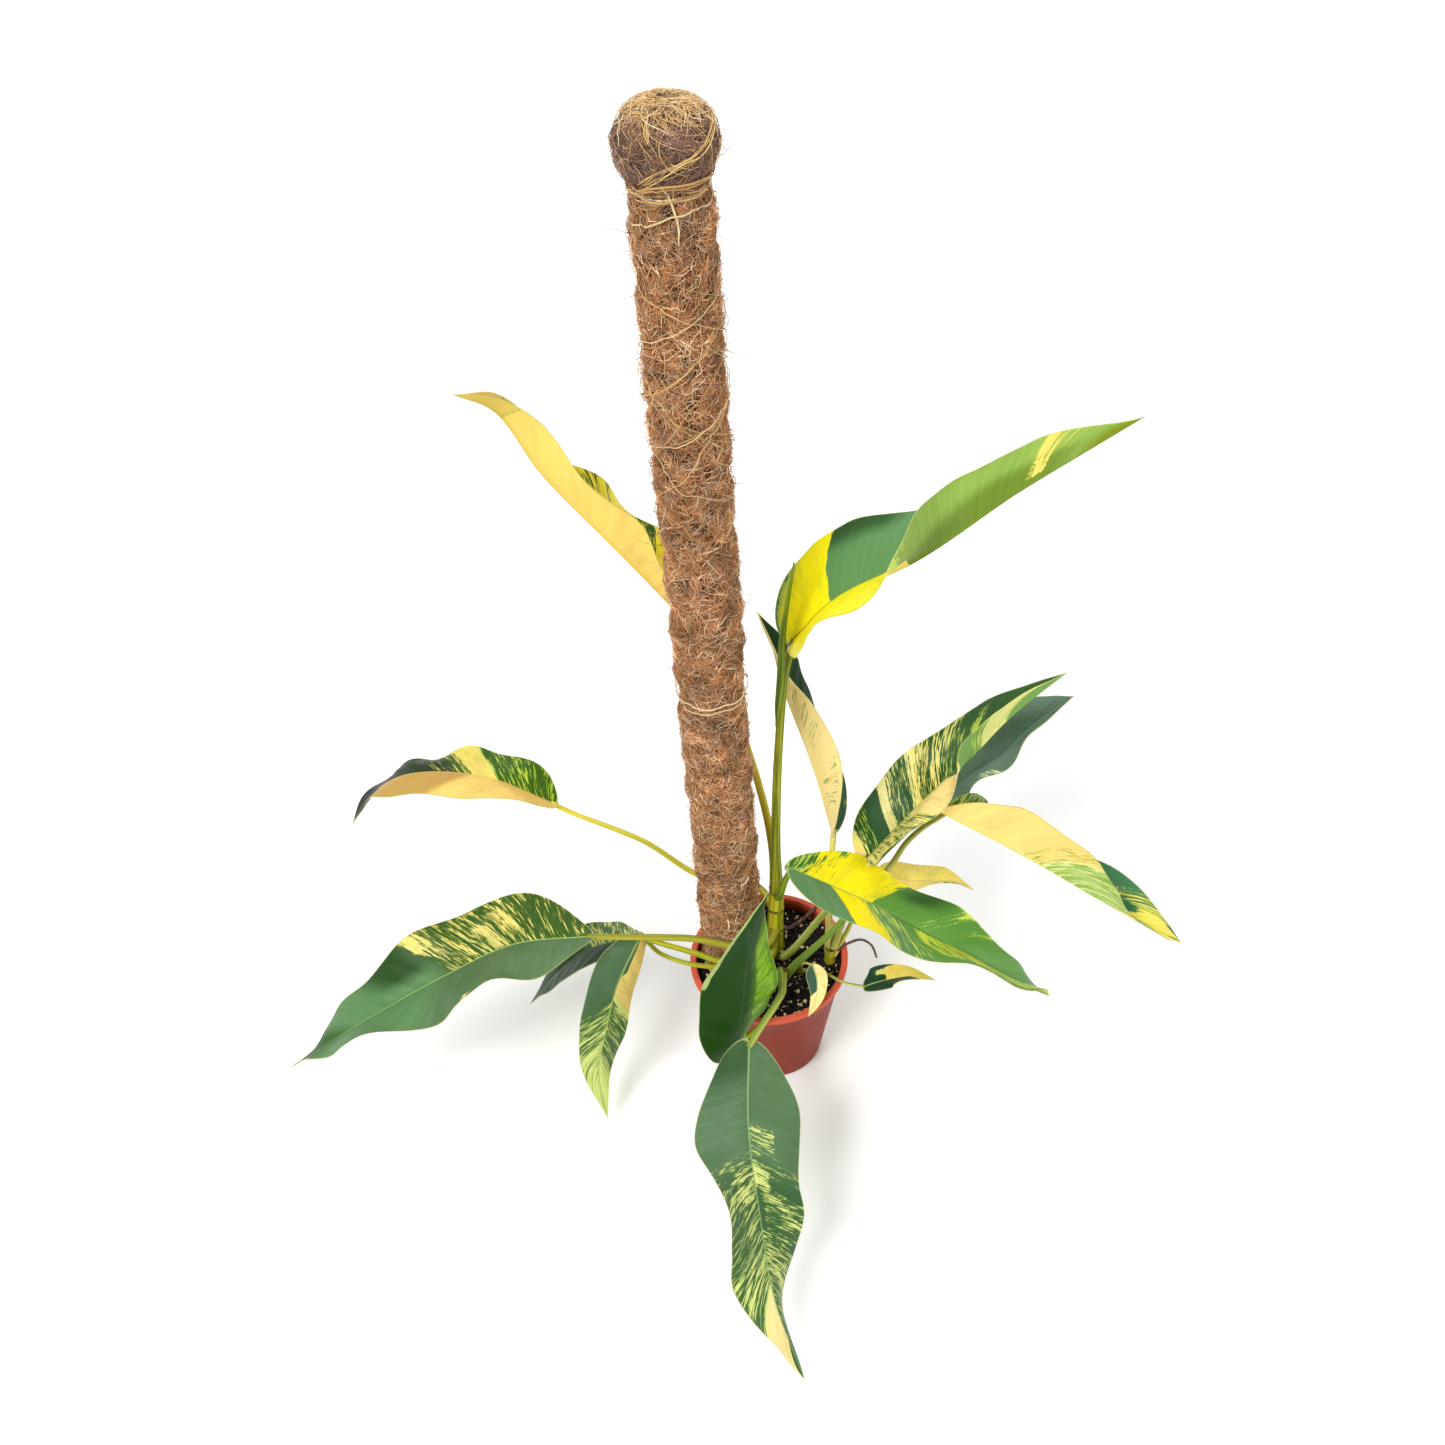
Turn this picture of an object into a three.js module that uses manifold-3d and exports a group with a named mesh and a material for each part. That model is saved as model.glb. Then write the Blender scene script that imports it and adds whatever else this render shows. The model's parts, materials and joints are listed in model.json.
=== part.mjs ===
import * as THREE from "three";
import { mergeVertices } from "three/addons/utils/BufferGeometryUtils.js";
import Module from "manifold-3d";

// A variegated climbing aroid in a nursery pot, on an upright pole wrapped in coir.
// Sizes are in millimetres and angles in degrees. +Z is up, and the origin is the
// centre of the pot's underside. The plant is seen from -Y.

// Clearance kept between pieces that rest on each other.
const GAP = 0.3;

const POT = {
  height: 136,
  lipRadius: 75,
  lipHeight: 6,
  lipRound: 1.2,
  neckRadius: 71,
  bandHeight: 3,
  bandStep: 0.8,
  footRadius: 48,
  chamfer: 1.5,
  wall: 1.8,
  floor: 2.5,
  drainHoles: 6,
  drainRadius: 4,
  drainCircle: 30,
  segments: 32,
};

const SOIL = { top: 124, crumb: 1.4, rings: 6 };

// The pole is a wooden stake in a sleeve of coir, which swells into a ball at its top.
const POLE = {
  x: -33.5,
  y: 20,
  stakeRadius: 10,
  stakePoint: 3,
  stakeFoot: 6,
  stakeTaper: 20,
  stakeTop: 945,
  wrapFoot: 108,
  wrapRadius: 27.3,
  wrapFootRadius: 24.3,
  wrapFootHeight: 20,
  wrapStep: 21,
  lump: 1.5,
  lumpHeight: 58,
  waistHalf: 5.4,
  waistEase: 8,
  waistRadius: 25.2,
  ballHeight: 962,
  ballRadius: 33,
  ballRise: 26,
  ballLow: -0.48,
  ballHigh: 1.5,
  ballRings: 8,
  ballLump: 0.03,
  sides: 14,
};

// Bands tied round the pole: height, cord radius, number of turns and tilt. Their turns
// lie a pitch apart and close up to a share of the cord's radius between them.
const TIES = [
  { name: "neck_tie", z: 936, cord: 1.3, turns: 3, tilt: 1.4 },
  { name: "string_loop", z: 484, cord: 0.9, turns: 2, tilt: 3.2 },
];
const TURN = { pitch: 1.24, valley: 0.35 };

// Stems of the plant. Each stands in a plain hole in the soil.
const STEMS = [
  { name: "stem_main", path: [[8, 15, 104], [8, 18, 150], [12, 26, 207]],
    radius: [8.5, 7], nodes: 4 },
  { name: "stem_right", path: [[58, -4, 108], [58, -4, 130], [59, -3, 146]],
    radius: [6, 5], nodes: 2 },
  { name: "stem_front", path: [[10, -22, 106], [10, -23, 128], [10, -26, 146]],
    radius: [5.5, 4.5], nodes: 2 },
  { name: "stem_young", path: [[28, -12, 110], [28, -13, 124], [28, -15, 136]],
    radius: [3, 2.5], nodes: 1 },
];

// How far a leaf scar stands out, as a share of the stem's radius.
const LEAF_SCAR = 0.07;

const AERIAL_ROOTS = [
  {
    name: "aerial_root_inner",
    path: [[14, 20, 152], [24, 30, 138], [38, 42, 135], [50, 50, 140]],
    radius: [1.6, 1.2],
  },
  {
    name: "aerial_root_outer",
    path: [[60, -5, 138], [72, -2, 146], [88, 0, 150], [97, -4, 146], [102, -8, 131]],
    radius: [1.5, 1],
  },
];

// The rolled new leaf that stands beside the petiole of leaf_02.
const SPEAR = {
  name: "new_leaf_spear",
  path: [[19, 45, 405], [24, 42.5, 460], [28, 43.5, 515], [39, 46, 588]],
  radius: [2.6, 3.2, 2.4, 0.7],
};

// Leaves, each with its petiole. The petiole runs to the first point of the midrib.
// faces is the way the upper side looks where roll is 0. roll turns the blade about
// its midrib at even stations from base to tip. Each half, as seen from the base with
// the upper side up, has its half width at five even stations before the outline
// rounds its ends, its fold up from flat at four, and an edge wave of height, count
// and phase.
const LEAVES = [
  {
    name: "leaf_01",
    stalk: 4.2,
    petiole: [[10, 26, 185], [11, 46, 235], [0, 60, 325], [-26, 84, 430]],
    midrib: [[-55, 90, 505], [-103, 71, 601], [-146, 59, 684], [-170, 49, 749], [-194, 20, 789]],
    faces: [0.6, 0, 0.8],
    roll: [-15, 10, 15],
    left: { width: [50, 46, 43, 44, 45], fold: [50, 50, 60, 70], wave: [5, 3, 15] },
    right: { width: [50, 48, 41, 41, 44], fold: [45, 30, 30, 50], wave: [7, 3, -35] },
  },
  {
    name: "leaf_02",
    stalk: 5,
    petiole: [[11, 25, 203], [13, 33, 265], [20, 45, 375], [30, 56, 462]],
    midrib: [[38, 60, 492], [72, 51, 542], [135, 29, 599], [206, 26, 657], [290, 14, 728]],
    faces: [0, 0, 1],
    roll: [0, -15, -25],
    left: { width: [68, 65, 61, 58, 56], fold: [70, 25, 25, 35], wave: [4, 3, 150] },
    right: { width: [64, 64, 64, 61, 56], fold: [5, 10, 80, 110], wave: [-8, 3, 65] },
  },
  {
    name: "leaf_03",
    stalk: 4,
    petiole: [[58, -3, 138], [59, 12, 172], [64, 36, 225]],
    midrib: [[68, 49, 256], [49, 67, 341], [29, 89, 406], [21, 95, 454], [10, 102, 487]],
    faces: [1, 0, 0],
    roll: [-16, 24, -36],
    left: { width: [38, 39, 38, 38, 38], fold: [7, 26, 28, 19], wave: [1, 3, 85] },
    right: { width: [38, 38, 39, 40, 40], fold: [38, 46, 62, 61], wave: [-2, 3, 115] },
  },
  {
    name: "leaf_04",
    stalk: 4,
    petiole: [[8, 14, 122], [16, -4, 140], [53, -5, 202], [82, 17, 218]],
    midrib: [[97, 34, 229], [146, 50, 280], [198, 68, 327], [231, 64, 380], [272, 67, 420]],
    faces: [0, 0, 1],
    roll: [-15, 5, 5],
    left: { width: [54, 48, 46, 47, 47], fold: [50, 30, 25, 15], wave: [3, 3, 60] },
    right: { width: [50, 49, 49, 49, 48], fold: [25, 35, 65, 85], wave: [-5, 3, 75] },
  },
  {
    name: "leaf_05",
    stalk: 3.4,
    petiole: [[11, -22, 126], [24, -20, 146], [71, -6, 193], [98, 36, 206], [131, 60, 223]],
    midrib: [[162, 76, 238], [193, 93, 260], [228, 101, 281], [258, 109, 312], [291, 103, 352]],
    faces: [0, 0, 1],
    roll: [-10, -10, 5],
    left: { width: [44, 46, 49, 51, 50], fold: [10, 15, 25, 25], wave: [2.5, 3, 80] },
    right: { width: [44, 46, 47, 49, 50], fold: [20, 25, 25, 10], wave: [2, 3, 90] },
  },
  {
    name: "leaf_06",
    stalk: 3.6,
    petiole: [[60, -2, 142], [77, 8, 186], [117, 33, 213], [133, 34, 247], [146, 34, 265]],
    midrib: [[166, 29, 290], [242, 29, 222], [314, 16, 165], [370, -1, 128], [401, 7, 94]],
    faces: [0, 0, 1],
    roll: [-11, -9, 17],
    left: { width: [52, 40, 50, 54, 53], fold: [75, 5, 26, 43], wave: [3, 3, 65] },
    right: { width: [43, 48, 51, 50, 45], fold: [87, 86, 58, 26], wave: [-2, 3, 85] },
  },
  {
    name: "leaf_07",
    stalk: 4,
    petiole: [[12, 24, 196], [15, 4, 228], [20, 0, 252]],
    midrib: [[26, 0, 264], [98, -15, 222], [169, -41, 183], [230, -55, 139], [265, -38, 88]],
    faces: [0, 0, 1],
    roll: [-7, -14, -12],
    left: { width: [48, 48, 48, 50, 48], fold: [20, 10, 25, 20], wave: [6, 3, -120] },
    right: { width: [46, 47, 49, 48, 47], fold: [0, 5, 25, 25], wave: [6, 3, 165] },
  },
  {
    name: "leaf_08",
    stalk: 2.6,
    petiole: [[61, -5, 136], [76, 8, 156], [97, 38, 178]],
    midrib: [[111, 42, 195], [133, 39, 186], [157, 39, 183], [179, 38, 179], [200, 38, 164]],
    faces: [0, 0, 1],
    roll: [-10, -20, -15],
    left: { width: [28, 28, 29, 29, 29], fold: [0, 5, 10, 10], wave: [1.5, 2, -90] },
    right: { width: [28, 28, 28, 28, 28], fold: [5, 15, 25, 20], wave: [1, 2, 90] },
  },
  {
    name: "leaf_09",
    stalk: 3.2,
    petiole: [[10, 25, 168], [-6, 56, 172], [-58, 62, 187], [-109, 66, 241], [-172, 71, 284]],
    midrib: [[-188, 71, 299], [-244, 79, 332], [-312, 90, 332], [-358, 103, 292], [-381, 100, 258]],
    faces: [0, 0, 1],
    roll: [5, 10, 10],
    left: { width: [41, 42, 43, 41, 39], fold: [35, 10, 0, 10], wave: [-2, 3.5, 50] },
    right: { width: [44, 44, 41, 40, 40], fold: [25, -5, -5, 5], wave: [6, 3.5, -15] },
  },
  {
    name: "leaf_10",
    stalk: 4,
    petiole: [[8, 16, 156], [-4, -8, 164], [-33, -16, 178], [-68, -20, 199], [-135, -22, 213]],
    midrib: [[-165, -22, 217], [-230, -30, 225], [-294, -51, 214], [-376, -68, 175], [-453, -69, 115]],
    faces: [0, 0, 1],
    roll: [20, 5, 25],
    left: { width: [53, 52, 51, 53, 55], fold: [0, 5, 10, 15], wave: [14, 3, 105] },
    right: { width: [55, 54, 50, 55, 56], fold: [15, 40, 35, -10], wave: [-8, 3, 135] },
  },
  {
    name: "leaf_11",
    stalk: 3,
    petiole: [[8, 15, 132], [-2, -10, 140], [-33, -15, 143], [-75, -8, 144], [-104, 6, 147]],
    midrib: [[-116, 14, 161], [-143, 14, 159], [-175, 20, 139], [-209, 21, 102], [-239, 24, 54]],
    faces: [0, 0, 1],
    roll: [20, 10, 15],
    left: { width: [34, 35, 35, 35, 35], fold: [-10, 5, 5, 0], wave: [1.5, 3, -90] },
    right: { width: [34, 36, 38, 36, 35], fold: [-15, 10, 10, 0], wave: [1, 3, -80] },
  },
  {
    name: "leaf_12",
    stalk: 3.6,
    petiole: [[8, 15, 144], [-2, -14, 151], [-36, -23, 160], [-71, -24, 184], [-99, -22, 199]],
    midrib: [[-117, -18, 206], [-142, -41, 166], [-159, -63, 118], [-170, -70, 67], [-167, -89, 15]],
    faces: [-0.3, -0.8, 0.5],
    roll: [-30, -28, -20],
    left: { width: [28, 27, 28, 25, 24], fold: [-35, -30, -20, -15], wave: [-2.5, 3, 75] },
    right: { width: [31, 29, 29, 30, 26], fold: [-20, -10, -5, -5], wave: [4, 3, 95] },
  },
  {
    name: "leaf_13",
    stalk: 3.6,
    petiole: [[10, -24, 136], [8, -50, 143], [-8, -76, 143], [-24, -88, 138]],
    midrib: [[-29, -92, 138], [-32, -104, 160], [-28, -93, 202], [-17, -75, 254], [2, -50, 300]],
    faces: [0, -1, 0.4],
    roll: [38, 28, 50],
    left: { width: [45, 46, 48, 46, 44], fold: [0, -10, -5, 0], wave: [3, 3, 70] },
    right: { width: [46, 47, 47, 46, 44], fold: [-25, -15, -20, -30], wave: [-5, 3, 165] },
  },
  {
    name: "leaf_14",
    stalk: 4,
    petiole: [[10, -25, 143], [9, -55, 157], [1, -84, 177], [-13, -110, 184]],
    midrib: [[-26, -126, 176], [-32, -189, 147], [-28, -258, 122], [-21, -312, 70], [0, -358, 9]],
    faces: [0, 0, 1],
    roll: [-25, -45, -35],
    left: { width: [51, 55, 57, 56, 54], fold: [5, 15, -5, -40], wave: [-7, 2.5, 125] },
    right: { width: [53, 56, 55, 57, 56], fold: [0, 0, -5, -20], wave: [13, 2.5, 20] },
  },
  {
    name: "leaf_15",
    stalk: 1.6,
    petiole: [[28, -15, 133], [32, -26, 156]],
    midrib: [[39, -40, 171], [42, -46, 158], [41, -56, 150], [37, -66, 146], [31, -76, 142]],
    faces: [0, -0.8, 0.6],
    roll: [0, 0, 0],
    left: { width: [11, 11, 10, 10, 11], fold: [0, 0, 0, 0], wave: [0.5, 2, 0] },
    right: { width: [12, 11, 9, 8, 10], fold: [0, 0, 0, 0], wave: [0.5, 2, 90] },
  },
  {
    name: "leaf_16",
    stalk: 1.6,
    petiole: [[28, -14, 128], [48, -32, 148], [67, -50, 154]],
    midrib: [[86, -55, 152], [94, -55, 156], [110, -51, 155], [131, -54, 161], [150, -60, 161]],
    faces: [0, 0, 1],
    roll: [-10, -15, -20],
    left: { width: [19, 21, 19, 17, 15], fold: [10, 10, 5, 0], wave: [0.6, 2, 85] },
    right: { width: [17, 18, 17, 16, 15], fold: [10, 15, 20, 15], wave: [0.5, 2, 85] },
  },
];

// Cross section of a leaf: shares of the half width at which a section has a point.
const BLADE_COLUMNS = [0.08, 0.5, 1];
const BLADE = {
  mid: 1.1,
  edge: 0.7,
  rib: 2.2,
  ribStalk: 4,
  arch: -14,
  lobe: 8,
  lobeLength: 0.3,
  lobeWidth: 50,
  tip: 0.6,
};
const STALK = { sheath: 0.45, sheathLength: 0.3, taper: 0.34 };
const LONG_LEAF = { blade: 13, stalk: 7 };
const SMALL_LEAF = { blade: 9, stalk: 4, below: 110 };

const COLOURS = {
  pot: "#a5503f",
  soil: "#241c18",
  stake: "#9a7650",
  coir: "#a0714c",
  twine: "#c9a664",
  stem: "#a9a52c",
  root: "#5b463d",
  leaf: "#4a7a48",
  yellowLeaf: "#dccb4e",
  spear: "#8c9440",
};
const YELLOW_LEAVES = ["leaf_01", "leaf_06", "leaf_08", "leaf_09"];

const wasm = await Module();
wasm.setup();

const radians = THREE.MathUtils.degToRad;
const toVector = (p) => new THREE.Vector3(...p);
const curveOf = (points) => new THREE.CatmullRomCurve3(points.map(toVector));

// Signed volume of an indexed mesh, which is negative where its faces look inwards.
function signedVolume(geometry) {
  const p = geometry.getAttribute("position");
  const index = geometry.getIndex();
  const [a, b, c] = [new THREE.Vector3(), new THREE.Vector3(), new THREE.Vector3()];
  let sum = 0;
  for (let i = 0; i < index.count; i += 3) {
    a.fromBufferAttribute(p, index.getX(i));
    b.fromBufferAttribute(p, index.getX(i + 1));
    c.fromBufferAttribute(p, index.getX(i + 2));
    sum += a.dot(b.cross(c)) / 6;
  }
  return sum;
}

// The geometry with shared corners merged and its faces looking out.
function closed(geometry) {
  const bare = new THREE.BufferGeometry();
  bare.setAttribute("position", geometry.getAttribute("position"));
  bare.setIndex(geometry.getIndex());
  const merged = mergeVertices(bare, 1e-4);
  if (signedVolume(merged) < 0) merged.getIndex().array.reverse();
  return merged;
}

function toSolid(geometry) {
  const shape = closed(geometry);
  return new wasm.Manifold(
    new wasm.Mesh({
      numProp: 3,
      vertProperties: shape.getAttribute("position").array,
      triVerts: new Uint32Array(shape.getIndex().array),
    }),
  );
}

function toGeometry(solid) {
  const { vertProperties, triVerts } = solid.getMesh();
  const geometry = new THREE.BufferGeometry();
  geometry.setAttribute("position", new THREE.BufferAttribute(vertProperties, 3));
  geometry.setIndex(new THREE.BufferAttribute(triVerts, 1));
  return geometry;
}

// The largest body of a solid, without the scraps that a cut leaves.
function largest(solid) {
  const bodies = solid.decompose();
  return toGeometry(bodies.reduce((a, b) => (a.volume() > b.volume() ? a : b)));
}

// A closed skin over rings of points, with a fan at each end. Where a ring lists an
// upper face and then the lower face backwards, twoFaced splits both faces alike.
function loft(rings, twoFaced = false) {
  const n = rings[0].length;
  const points = rings.flat();
  const faces = [];
  for (let i = 0; i + 1 < rings.length; i++)
    for (let j = 0; j < n; j++) {
      const k = (j + 1) % n;
      const [a, b] = [i * n + j, i * n + k];
      const [c, d] = [a + n, b + n];
      if (twoFaced && j >= n / 2 - 1) faces.push(a, b, c, b, d, c);
      else faces.push(a, b, d, a, d, c);
    }
  const first = points.length;
  const last = rings.length - 1;
  for (const ring of [rings[0], rings[last]])
    points.push(ring.reduce((sum, p) => sum.add(p), new THREE.Vector3()).divideScalar(n));
  for (let j = 0; j < n; j++) {
    const k = (j + 1) % n;
    faces.push(first, k, j, first + 1, last * n + j, last * n + k);
  }
  return closed(new THREE.BufferGeometry().setFromPoints(points).setIndex(faces));
}

// A value at t from 0 to 1 along evenly spaced stations, passing smoothly through them.
function along(stations, t) {
  const last = stations.length - 1;
  const i = Math.min(Math.floor(t * last), last - 1);
  const w = t * last - i;
  const [b, c] = [stations[i], stations[i + 1]];
  const a = i > 0 ? stations[i - 1] : 2 * b - c;
  const d = i + 2 <= last ? stations[i + 2] : 2 * c - b;
  return b + 0.5 * w * (c - a + w * (2 * a - 5 * b + 4 * c - d + w * (3 * (b - c) + d - a)));
}

// A closed tube along a curve, whose radius is a function of the share of its length.
function tube(curve, radiusAt, sides, steps) {
  const frames = curve.computeFrenetFrames(steps);
  const rings = [];
  for (let i = 0; i <= steps; i++) {
    const centre = curve.getPointAt(i / steps);
    const r = radiusAt(i / steps);
    const ring = [];
    for (let j = 0; j < sides; j++) {
      const a = (j / sides) * 2 * Math.PI;
      ring.push(
        centre.clone()
          .addScaledVector(frames.normals[i], r * Math.cos(a))
          .addScaledVector(frames.binormals[i], r * Math.sin(a)),
      );
    }
    rings.push(ring);
  }
  return loft(rings);
}

// A solid of revolution about the vertical line through x, y from [radius, height] pairs.
function turned(profile, segments, x = 0, y = 0) {
  const points = profile.map(([r, z]) => new THREE.Vector2(r, z));
  return closed(new THREE.LatheGeometry(points, segments).rotateX(Math.PI / 2).translate(x, y, 0));
}

function rod(radius, low, high, x, y, segments = 16) {
  return turned([[0, low], [radius, low], [radius, high], [0, high]], segments, x, y);
}

// The pointed stake, widened by grow to make its hole.
function makeStake(grow = 0) {
  const { stakeFoot, stakeTaper, stakeTop, stakePoint, stakeRadius, x, y } = POLE;
  const profile = [
    [0, stakeFoot - grow],
    [stakePoint + grow, stakeFoot - grow],
    [stakeRadius + grow, stakeFoot + stakeTaper],
    [stakeRadius + grow, stakeTop],
    [0, stakeTop],
  ];
  return turned(profile, 16, x, y);
}

// Inner radius of the pot's wall at a height.
function potInside(z) {
  const share = (z - POT.chamfer) / (POT.height - POT.lipHeight - POT.chamfer);
  return POT.footRadius + (POT.neckRadius - POT.footRadius) * share - POT.wall;
}

function makePot() {
  const lipLow = POT.height - POT.lipHeight;
  const round = POT.lipRound;
  const wall = turned(
    [
      [0, 0],
      [POT.footRadius - POT.chamfer, 0],
      [POT.footRadius, POT.chamfer],
      [POT.neckRadius - POT.bandStep, lipLow - POT.bandHeight - POT.bandStep / 2],
      [POT.neckRadius, lipLow - POT.bandHeight],
      [POT.neckRadius, lipLow],
      [POT.lipRadius - round, lipLow],
      [POT.lipRadius, lipLow + round],
      [POT.lipRadius, POT.height - round],
      [POT.lipRadius - round, POT.height],
      [POT.neckRadius - POT.wall + round, POT.height],
      [POT.neckRadius - POT.wall, POT.height - round],
      [POT.neckRadius - POT.wall, lipLow],
      [potInside(POT.floor), POT.floor],
      [0, POT.floor],
    ],
    POT.segments,
  );
  let pot = toSolid(wall);
  for (let i = 0; i < POT.drainHoles; i++) {
    const a = ((i + 0.5) / POT.drainHoles) * 2 * Math.PI;
    const [x, y] = [POT.drainCircle * Math.cos(a), POT.drainCircle * Math.sin(a)];
    pot = pot.subtract(toSolid(rod(POT.drainRadius, -POT.floor, 2 * POT.floor, x, y, 8)));
  }
  return toGeometry(pot);
}

// Low crumbs on top of the soil.
function crumb(x, y) {
  return SOIL.crumb * (Math.sin(x * 0.31 + 1) * Math.cos(y * 0.27) + 0.5 * Math.sin(x * 0.17 - y * 0.41));
}

function makeSoil(standing) {
  const low = POT.floor + GAP;
  const topRadius = potInside(SOIL.top) - GAP;
  const profile = [[0, low], [potInside(low) - GAP, low], [topRadius, SOIL.top]];
  for (let i = SOIL.rings - 1; i >= 0; i--) profile.push([(topRadius * i) / SOIL.rings, SOIL.top]);
  const body = turned(profile, POT.segments);
  const p = body.getAttribute("position");
  for (let i = 0; i < p.count; i++)
    if (p.getZ(i) > SOIL.top - 1 && Math.hypot(p.getX(i), p.getY(i)) < topRadius - 1)
      p.setZ(i, SOIL.top + crumb(p.getX(i), p.getY(i)));
  return toGeometry(standing.reduce((soil, hole) => soil.subtract(toSolid(hole)), toSolid(body)));
}

// Radius of the coir sleeve between its ties: quilted lumps in crossing diagonals.
function coirRadius(angle, z) {
  const turns = (z / POLE.lumpHeight) * Math.PI;
  const quilt = Math.cos(2 * angle + turns) * Math.cos(3 * angle - turns * 1.4);
  const full = Math.min(1, (z - POLE.wrapFoot) / POLE.wrapFootHeight);
  return THREE.MathUtils.lerp(POLE.wrapFootRadius, POLE.wrapRadius + POLE.lump * quilt, full);
}

// The space that the narrowed foot of the sleeve takes in the soil.
function makeWrapHole() {
  const { wrapFoot, wrapFootRadius, wrapFootHeight, wrapRadius, lump, x, y } = POLE;
  const profile = [
    [0, wrapFoot - GAP],
    [wrapFootRadius + GAP, wrapFoot - GAP],
    [wrapRadius + lump + GAP, wrapFoot + wrapFootHeight],
    [0, wrapFoot + wrapFootHeight],
  ];
  return turned(profile, 2 * POLE.sides, x, y);
}

// The sleeve has a straight waist under each tie and a flattened ball at its top.
function makeCoirWrap() {
  const rings = [];
  const ring = (z, radiusAt) => {
    const points = [];
    for (let j = 0; j < POLE.sides; j++) {
      const a = (j / POLE.sides) * 2 * Math.PI;
      const r = radiusAt(a);
      points.push(new THREE.Vector3(POLE.x + r * Math.cos(a), POLE.y + r * Math.sin(a), z));
    }
    rings.push(points);
  };
  const waists = TIES.flatMap((tie) => [tie.z - POLE.waistHalf, tie.z + POLE.waistHalf]);
  const heights = [...waists];
  for (let z = POLE.wrapFoot; z < waists[0] - POLE.waistEase; z += POLE.wrapStep)
    if (waists.every((w) => Math.abs(w - z) > POLE.waistEase)) heights.push(z);
  for (const z of heights.sort((a, b) => a - b))
    ring(z, (a) => (waists.includes(z) ? POLE.waistRadius : coirRadius(a, z)));
  for (let i = 0; i <= POLE.ballRings; i++) {
    const tilt = THREE.MathUtils.lerp(POLE.ballLow, POLE.ballHigh, i / POLE.ballRings);
    const r = POLE.ballRadius * Math.cos(tilt);
    const rise = tilt > 0 ? POLE.ballRise : POLE.ballRadius;
    const height = POLE.ballHeight + rise * Math.sin(tilt);
    ring(height, (a) => r * (1 + POLE.ballLump * Math.sin(3 * a + i)));
  }
  const bore = rod(POLE.stakeRadius + GAP, POLE.wrapFoot - 10, POLE.stakeTop + GAP, POLE.x, POLE.y);
  return largest(toSolid(loft(rings)).subtract(toSolid(bore)));
}

// A cord wound round the pole, its turns side by side in one closed ring.
function makeTie(tie) {
  const inner = POLE.waistRadius + 2 * GAP;
  const centre = inner + tie.cord;
  const half = (tie.cord * (tie.turns * 2 - 1) * TURN.pitch) / 2;
  const profile = [];
  for (let i = 0; i <= tie.turns * 2; i++) {
    const out = i % 2 ? tie.cord : tie.cord * TURN.valley;
    profile.push([centre + out, -half + (i / (tie.turns * 2)) * 2 * half]);
  }
  profile.push([inner, half], [inner, -half], profile[0]);
  const ring = turned(profile, 18);
  const slope = Math.tan(radians(tie.tilt));
  const p = ring.getAttribute("position");
  for (let i = 0; i < p.count; i++) p.setZ(i, p.getZ(i) + slope * p.getX(i));
  return ring.translate(POLE.x, POLE.y, tie.z);
}

// A stem with a low ring at each leaf scar. grow widens it to make its clearance.
function stemTube(stem, grow = 0) {
  const radiusAt = (t) => {
    const scar = Math.pow(Math.max(0, Math.cos(t * stem.nodes * 2 * Math.PI)), 8);
    return THREE.MathUtils.lerp(...stem.radius, t) * (1 + LEAF_SCAR * scar) + grow;
  };
  return tube(curveOf(stem.path), radiusAt, 10, 8 + stem.nodes * 2);
}

function rootTube(root, grow = 0) {
  const radiusAt = (t) => THREE.MathUtils.lerp(...root.radius, t) + grow;
  return tube(curveOf(root.path), radiusAt, 6, 9);
}

function spearTube(grow = 0) {
  return tube(curveOf(SPEAR.path), (t) => along(SPEAR.radius, t) + grow, 8, 10);
}

// Half width of a blade as a share of its stations: full, with a round base and a
// long drawn-out tip.
function outline(s) {
  return Math.pow(1 - Math.pow(1 - s, 7), 0.62) * Math.pow(1 - Math.pow(s, 2.6), 1.1);
}

function rowsOf(leaf) {
  return curveOf(leaf.midrib).getLength() < SMALL_LEAF.below ? SMALL_LEAF : LONG_LEAF;
}

// Radius of a petiole, sheathing at its foot and slender under the blade.
function stalkRadius(leaf, t) {
  const sheath = 1 + STALK.sheath * Math.pow(Math.max(0, 1 - t / STALK.sheathLength), 2);
  return leaf.stalk * sheath * (1 - STALK.taper * t);
}

// The middle line of a blade with, at each step, the way its upper side looks and the
// way to its right half.
function bladeFrames(leaf, rows) {
  const curve = curveOf(leaf.midrib);
  const frames = [];
  for (let i = 0; i <= rows; i++) {
    const even = i / rows;
    const s = 0.45 * even + 0.275 * (1 - Math.cos(Math.PI * even));
    const ahead = curve.getTangentAt(s);
    const up = toVector(leaf.faces).projectOnPlane(ahead).normalize();
    up.applyAxisAngle(ahead, radians(along(leaf.roll, s)));
    frames.push({ s, at: curve.getPointAt(s), ahead, up, right: ahead.clone().cross(up) });
  }
  return frames;
}

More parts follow.
